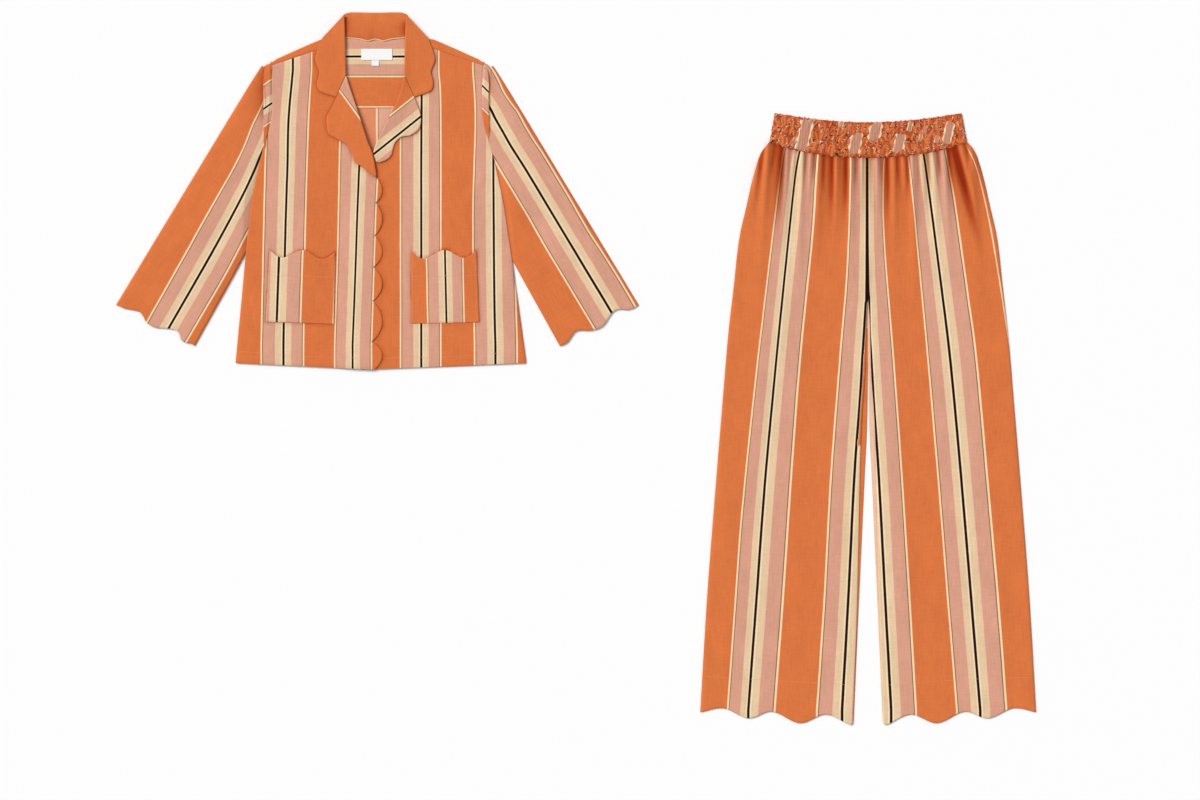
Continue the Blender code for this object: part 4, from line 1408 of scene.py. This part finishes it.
band = {
    "frontTop": 3.4,
    "long": 326.0,
    "tall": 56.0,
    "channels": [0.18, 0.50, 0.82],  # between the rows of elastic
    "seed": 12,
    "lean": 0.22,
    "endRound": 0.025,  # share of its length that each end rounds off over
    "under": 0.25,  # height of the lower layer
    "endHeights": (2.5, 1.6, 0.8),
    "elastic": (0.55, 0.6, 0.02),  # height left at the elastic, bluntness, shift of its rows
    "calm": (0.25, 0.8, 0.75),  # how the pale stripes smooth the puckers
    "smooth": 1.4,
    "sunk": 0.2,
    # upper and lower edge: where it starts, its share, drop and wave
    "frill": (0.93, 0.07, 0.9, 0.7),
    "foot": (0.05, 0.05, 0.5, 0.8),
    "gathered": 1.6,
    # painted shade low between the puckers: strength, and the pucker height where it is gone
    "hollowShade": (0.9, 1.15),
    "stripeEdge": -0.03,
    # pale stripes that face up: x, y, half width, half height
    "patches": [(-105, 952.5, 11.5, 26), (-21, 936, 10.5, 17.5), (11.5, 957, 11, 14.5), (51.5, 938, 9.5, 15),
                (69, 965, 4, 8), (132, 954, 8, 18.5), (-45, 968.5, 4.5, 6), (86.5, 947, 3, 6),
                (113, 944, 4.5, 6), (94.5, 960, 2.2, 7.5), (-122, 941, 3.2, 6)],
}


puckerSizes = {
    "first": (1, 6),
    "width": (1.3, 3.0),
    "height": (0.7, 2.1),
    "bend": (0, 0.035),
    "slant": (0.1, 0.28),
    "tall": (6.5, 11),
    "offLine": (0, 1.6),
    "step": (1.9, 3.4),  # widths to the next one
}


def puckers(across, up):  # seeded small folds, mm along the band and up it
    chance = np.random.default_rng(band["seed"])
    z = np.zeros(np.broadcast(across, up).shape)
    for channel in band["channels"]:
        middle = channel * band["tall"]
        start = chance.uniform(*puckerSizes["first"])
        while start < band["long"]:
            width = chance.uniform(*puckerSizes["width"])
            height = chance.uniform(*puckerSizes["height"])
            bend = chance.normal(*puckerSizes["bend"])
            slant = chance.normal(*puckerSizes["slant"])
            tall = chance.uniform(*puckerSizes["tall"])
            rise = up - middle - chance.normal(*puckerSizes["offLine"])
            off = (across - start - slant * rise - bend * rise ** 2) / width
            z += height * np.exp(-off ** 2 - (rise / tall) ** 4)
            start += width * chance.uniform(*puckerSizes["step"])
    return z


def patchPlace(x, y):  # how far inside a pale stripe, and how far from its middle line
    inside, aside = np.full(x.shape, -1.0), np.zeros(x.shape)
    wobble = 0.06 * np.sin(0.4 * y + 0.21 * x) + 0.04 * np.sin(0.8 * x - 0.3 * y)
    for px, py, wide, tall in band["patches"]:
        dx = np.abs(x - px - band["lean"] * (y - py)) / wide
        dy = np.abs(y - py) / tall
        depth = 1 - (dx ** 4 + dy ** 6) ** 0.25 + wobble * (1 + dy)
        aside = np.where(depth > inside, dx, aside)
        inside = np.maximum(inside, depth)
    return inside, aside


def makeBand():
    at = trousers["at"]
    low, high = smoothLine(trousers["bandSeam"]), smoothLine(trousers["bandTop"])
    vs = even(62)
    front = 0.006 + 0.988 * even(440)
    back = 0.006 + 0.988 * even(60)

    def place(shares):
        a, b = readLine(low, shares), readLine(high, shares)
        return a[None] + (b - a)[None] * vs[:, None, None]

    flat = place(front)
    v, s = vs[:, None], front[None, :]
    inside, _ = patchPlace(flat[..., 0], flat[..., 1])
    early, span, most = band["calm"]
    calm = most * ease((inside + early) / span)
    small = puckers(s * band["long"], v * band["tall"])
    least, blunt, shift = band["elastic"]
    rows = len(band["channels"])
    line = np.minimum(1, least + np.abs(np.sin(np.pi * (v * rows + shift))) ** blunt)
    smooth = band["smooth"] + 0.3 * np.sin(s * 470 + 4 * v) + 0.2 * np.sin(s * 930 + 1 - 6 * v)
    relief = mix(small * line, smooth, calm) - band["sunk"]
    z = band["frontTop"] + relief * arch(np.minimum(s, 1 - s), band["endRound"])
    start, share, drop, wave = band["frill"]
    footStart, footShare, footDrop, footWave = band["foot"]
    top = np.clip((v - start) / share, 0, 1)
    foot = np.clip((footStart - v) / footShare, 0, 1)
    z = z - drop * top ** 2 - footDrop * foot ** 2
    frill = np.sin(s * 171 + 3 * np.sin(s * 37)) + 0.7 * np.sin(s * 317 + 1.7 + 2 * np.sin(s * 61))
    lower = np.sin(s * 143 + 3 * np.sin(s * 29)) + 0.6 * np.sin(s * 251 + 3 * np.sin(s * 23))
    flat[..., 1] += wave * top * frill - footWave * foot * lower
    topSide = withHeight(flat, z)
    underSide = withHeight(place(back[::-1]), band["under"])
    fall = band["endHeights"]
    far = withHeight(place(np.full(len(fall), 1.0)), fall)
    near = withHeight(place(np.full(len(fall), 0.0)), fall[::-1])
    tube = np.concatenate([topSide, far, underSide, near], axis=1)
    inside, aside = patchPlace(tube[..., 0], tube[..., 1])
    hollow = np.zeros(aside.shape)
    strength, clear = band["hollowShade"]
    hollow[:, :small.shape[1]] = strength * np.clip(clear - small * line, 0, 1)
    aside = np.where(inside > band["stripeEdge"], aside, hollow)  # one channel holds both: the place across a pale stripe, and painted shade in the hollows
    weave = np.stack([tube[..., 0] * band["gathered"], tube[..., 1]], axis=-1)
    piece = clothPiece("waistband", tube, inside, weave, shirred, at, around=True, paintedShade=aside)
    area = flatArea(topSide) + flatArea(underSide)
    declare(piece, "trousers_waistband", (0.92, 0.062), area=area)


# noise over the band: scale across and along it, detail, roughness
shirredNoise = [(600, 60, 3.0, 0.6), (150, 190, 1.0, 0.4), (92, 112, 1.0, 0.5), (45, 38, 1.0, 0.5)]
flecks = {
    "dark": (0.50, 0.026, 0.048),  # middle of the noise's line, its half width inside and outside
    "light": (0.59, 0.018, 0.036),
    "lightShare": 0.75,
    "where": (0.50, 0.54),
}


def shirredFinish():  # the curled ends of the stripes show as dark and pale flecks
    graph = Graph("shirredCotton")
    weave = graph.uv("weave")
    inside = graph.axis(graph.uv("stripe"), 0)
    aside = graph.axis(graph.uv("stripe"), 1)
    grain, curl, where, rosy = (graph.noise(weave, (across, along, 1), detail, rough)
                                for across, along, detail, rough in shirredNoise)
    there = graph.ramp(where, *flecks["where"])
    marks = []
    for kind in ("dark", "light"):
        middle, low, high = flecks[kind]
        marks.append(graph.ramp(graph.maths("ABSOLUTE", curl - middle), low, high, 1.0, 0.0) * there)
    dark, light = marks
    colour = graph.blend(dyes["orange"], dyes["rose"], graph.ramp(rosy, 0.5, 0.7, 0.0, 0.8))
    # painted shade in the hollows between puckers, from the stripe map's second channel
    colour = graph.blend(colour, graph.blend(colour, dyes["shadow"], 1.0, "MULTIPLY"), aside)
    colour = graph.blend(colour, dyes["creamThread"], light * flecks["lightShare"])
    colour = graph.blend(colour, dyes["fleck"], dark)
    edge = graph.ramp(aside + (grain - 0.5) * 0.7, 0.62, 0.80)
    stripe = graph.blend(dyes["duskyPink"], dyes["creamThread"], edge)
    colour = graph.blend(colour, stripe, graph.ramp(inside + (rosy - 0.5) * 0.15, 0.0, 0.10))
    colour = graph.toned(colour, 1.0 + (grain - 0.5) * 0.30)
    graph.dress(colour, 0.82 + (grain - 0.5) * 0.1, grain, (0.3, 0.0004))
    clothSheen(graph)
    return graph.material


shirred = shirredFinish()
jacketBack()
jacketYoke()
yokeLining()
jacketFronts()
print("jacket body laid")
makeSleeve("sleeveRight", "jacket_sleeve_right", -1)
makeSleeve("sleeveLeft", "jacket_sleeve_left", 1)
for pocketName, (node, x0, y0, tilt, lines) in pocketCloth["places"].items():
    makePocket(pocketName, node, x0, y0, tilt, lines)
makeLapel("right")
makeLapel("left")
makeCollar()
makeLabel("neckLabel")
makeLabel("sizeTab")
print("jacket dressed")
makeLegs()
makeBand()
print("trousers laid")


# Sewing thread

bead = {
    "shortest": 0.42,  # half lengths, as a share of the size given
    "longest": 0.5,
    "seed": 5,
    "segments": 6,
    "rings": 4,
}


def stitchTree():
    tree = bpy.data.node_groups.new("stitchRun", "GeometryNodeTree")
    face = tree.interface
    face.new_socket("Geometry", in_out="INPUT", socket_type="NodeSocketGeometry")
    for name in ("Pitch", "Length", "Width", "Height"):
        face.new_socket(name, in_out="INPUT", socket_type="NodeSocketFloat")
    face.new_socket("Material", in_out="INPUT", socket_type="NodeSocketMaterial")
    face.new_socket("Geometry", in_out="OUTPUT", socket_type="NodeSocketGeometry")

    def add(kind, settings=None, values=None):
        made = tree.nodes.new(kind)
        for key, setting in (settings or {}).items():
            setattr(made, key, setting)
        for key, value in (values or {}).items():
            made.inputs[key].default_value = value
        return made

    given = add("NodeGroupInput")
    curve = add("GeometryNodeMeshToCurve")
    points = add("GeometryNodeCurveToPoints", {"mode": "LENGTH"})
    turn = add("FunctionNodeAlignRotationToVector", {"axis": "X"})
    sizes = add("ShaderNodeCombineXYZ")
    uneven = add("FunctionNodeRandomValue", {"data_type": "FLOAT"},
                 {2: bead["shortest"], 3: bead["longest"], "Seed": bead["seed"]})
    vary = add("ShaderNodeVectorMath", {"operation": "SCALE"})
    ball = add("GeometryNodeMeshUVSphere", None,
               {"Segments": bead["segments"], "Rings": bead["rings"], "Radius": 1.0})
    place = add("GeometryNodeInstanceOnPoints")
    real = add("GeometryNodeRealizeInstances")
    dress = add("GeometryNodeSetMaterial")
    out = add("NodeGroupOutput")
    for start, output, end, socket in (
        (given, "Geometry", curve, "Mesh"),
        (curve, "Curve", points, "Curve"),
        (given, "Pitch", points, "Length"),
        (points, "Tangent", turn, "Vector"),
        (given, "Length", sizes, "X"),
        (given, "Width", sizes, "Y"),
        (given, "Height", sizes, "Z"),
        (sizes, "Vector", vary, 0),
        (uneven, 1, vary, "Scale"),
        (points, "Points", place, "Points"),
        (ball, "Mesh", place, "Instance"),
        (turn, "Rotation", place, "Rotation"),
        (vary, "Vector", place, "Scale"),
        (place, "Instances", real, "Geometry"),
        (real, "Geometry", dress, "Geometry"),
        (given, "Material", dress, "Material"),
        (dress, "Geometry", out, "Geometry"),
    ):
        tree.links.new(start.outputs[output], end.inputs[socket])
    return tree


def sewnRun(name, lines, at, tree, sizes, finish):
    spots, edges = [], []
    for line in lines:
        first = len(spots)
        spots.extend(placed(line, at).tolist())
        edges.extend((k, k + 1) for k in range(first, len(spots) - 1))
    mesh = bpy.data.meshes.new(name)
    mesh.from_pydata(spots, edges, [])
    thing = addObject(name, mesh)
    run = thing.modifiers.new("stitches", "NODES")
    run.node_group = tree
    values = dict(threadSizes[sizes], Material=finish)
    for socket in tree.interface.items_tree:
        if socket.in_out == "INPUT" and socket.name in values:
            run[socket.identifier] = values[socket.name]
    bake(thing)
    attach(thing, "root")
    print(name, len(thing.data.polygons), "faces")


def onCloth(points, height, count=160):  # a line laid on a surface
    line = spaced(points, count)
    rise = height(line[:, 0], line[:, 1]) + threadWork["lift"]
    return np.concatenate([line, rise[:, None]], axis=1)


def jacketThread(tree):
    above = threadWork["jacketHem"]
    right, left = ([(x, above - jacket["hemDrop"] * (1 - (x / half) ** 2)) for x in spots]
                   for half, spots in threadWork["hemSpots"])
    lines = [onCloth(right, lambda x, y: frontTop(x, y, True)), onCloth(left, frontTop)]
    lines += pocketSeams
    sewnRun("jacketThread", lines, jacket["at"], tree, "sewing", threadFinish)


def trousersThread(tree):
    lines = []
    for points, word in zip(threadWork["legHems"], ("Right", "Left")):
        lines.append(onCloth(points, lambda x, y: legHeight(x, y, word)[0]))
    sewnRun("trousersThread", lines, trousers["at"], tree, "sewing", threadFinish)


def backMotif(tree):  # a plain garland on the hidden back, below the yoke
    motif = threadWork["motif"]
    x = np.linspace(-motif["half"], motif["half"], 240)
    lines = []
    for swing in (1, -1):
        y = motif["y"] + swing * motif["wave"] * np.sin(x / motif["pace"])
        lines.append(np.stack([x, y, np.full_like(x, motif["height"])], axis=-1))
    sewnRun("backMotif", lines, jacket["at"], tree, "motif", motifFinish)


stitchRun = stitchTree()
jacketThread(stitchRun)
trousersThread(stitchRun)
backMotif(stitchRun)
print("thread sewn")


# Table, light

room = {
    "floor": 6.0,
    "paper": (0.93, 0.93, 0.93, 1),
    "roughness": 0.9,
    "key": {"from": (-1.0, 0.75, 1.15), "strength": 3.0, "angle": 30.0},
    "fill": {"from": (0.9, -0.6, 1.3), "strength": 0.3, "angle": 60.0},
    "sky": 0.34,
}


def makeRoom():
    half = room["floor"] / 2
    mesh = bpy.data.meshes.new("floor")
    corners = [(-half, -half, 0), (half, -half, 0), (half, half, 0), (-half, half, 0)]
    mesh.from_pydata(corners, [], [(0, 1, 2, 3)])
    floor = addObject("floor", mesh)
    graph = Graph("paper")
    graph.shader.inputs["Base Color"].default_value = room["paper"]
    graph.shader.inputs["Roughness"].default_value = room["roughness"]
    mesh.materials.append(graph.material)
    for name in ("key", "fill"):
        data = bpy.data.lights.new(name, "SUN")
        data.energy = room[name]["strength"]
        data.angle = math.radians(room[name]["angle"])
        lamp = addObject(name, data)
        lamp.rotation_mode = "QUATERNION"
        lamp.rotation_quaternion = Vector(room[name]["from"]).to_track_quat("Z", "Y")
    world = bpy.data.worlds.new("sky")
    world.use_nodes = True
    light = world.node_tree.nodes["Background"].inputs
    light["Color"].default_value = (1, 1, 1, 1)
    light["Strength"].default_value = room["sky"]
    bpy.context.scene.world = world
    bpy.context.scene.view_settings.view_transform = "Standard"  # colours as dyed


makeRoom()
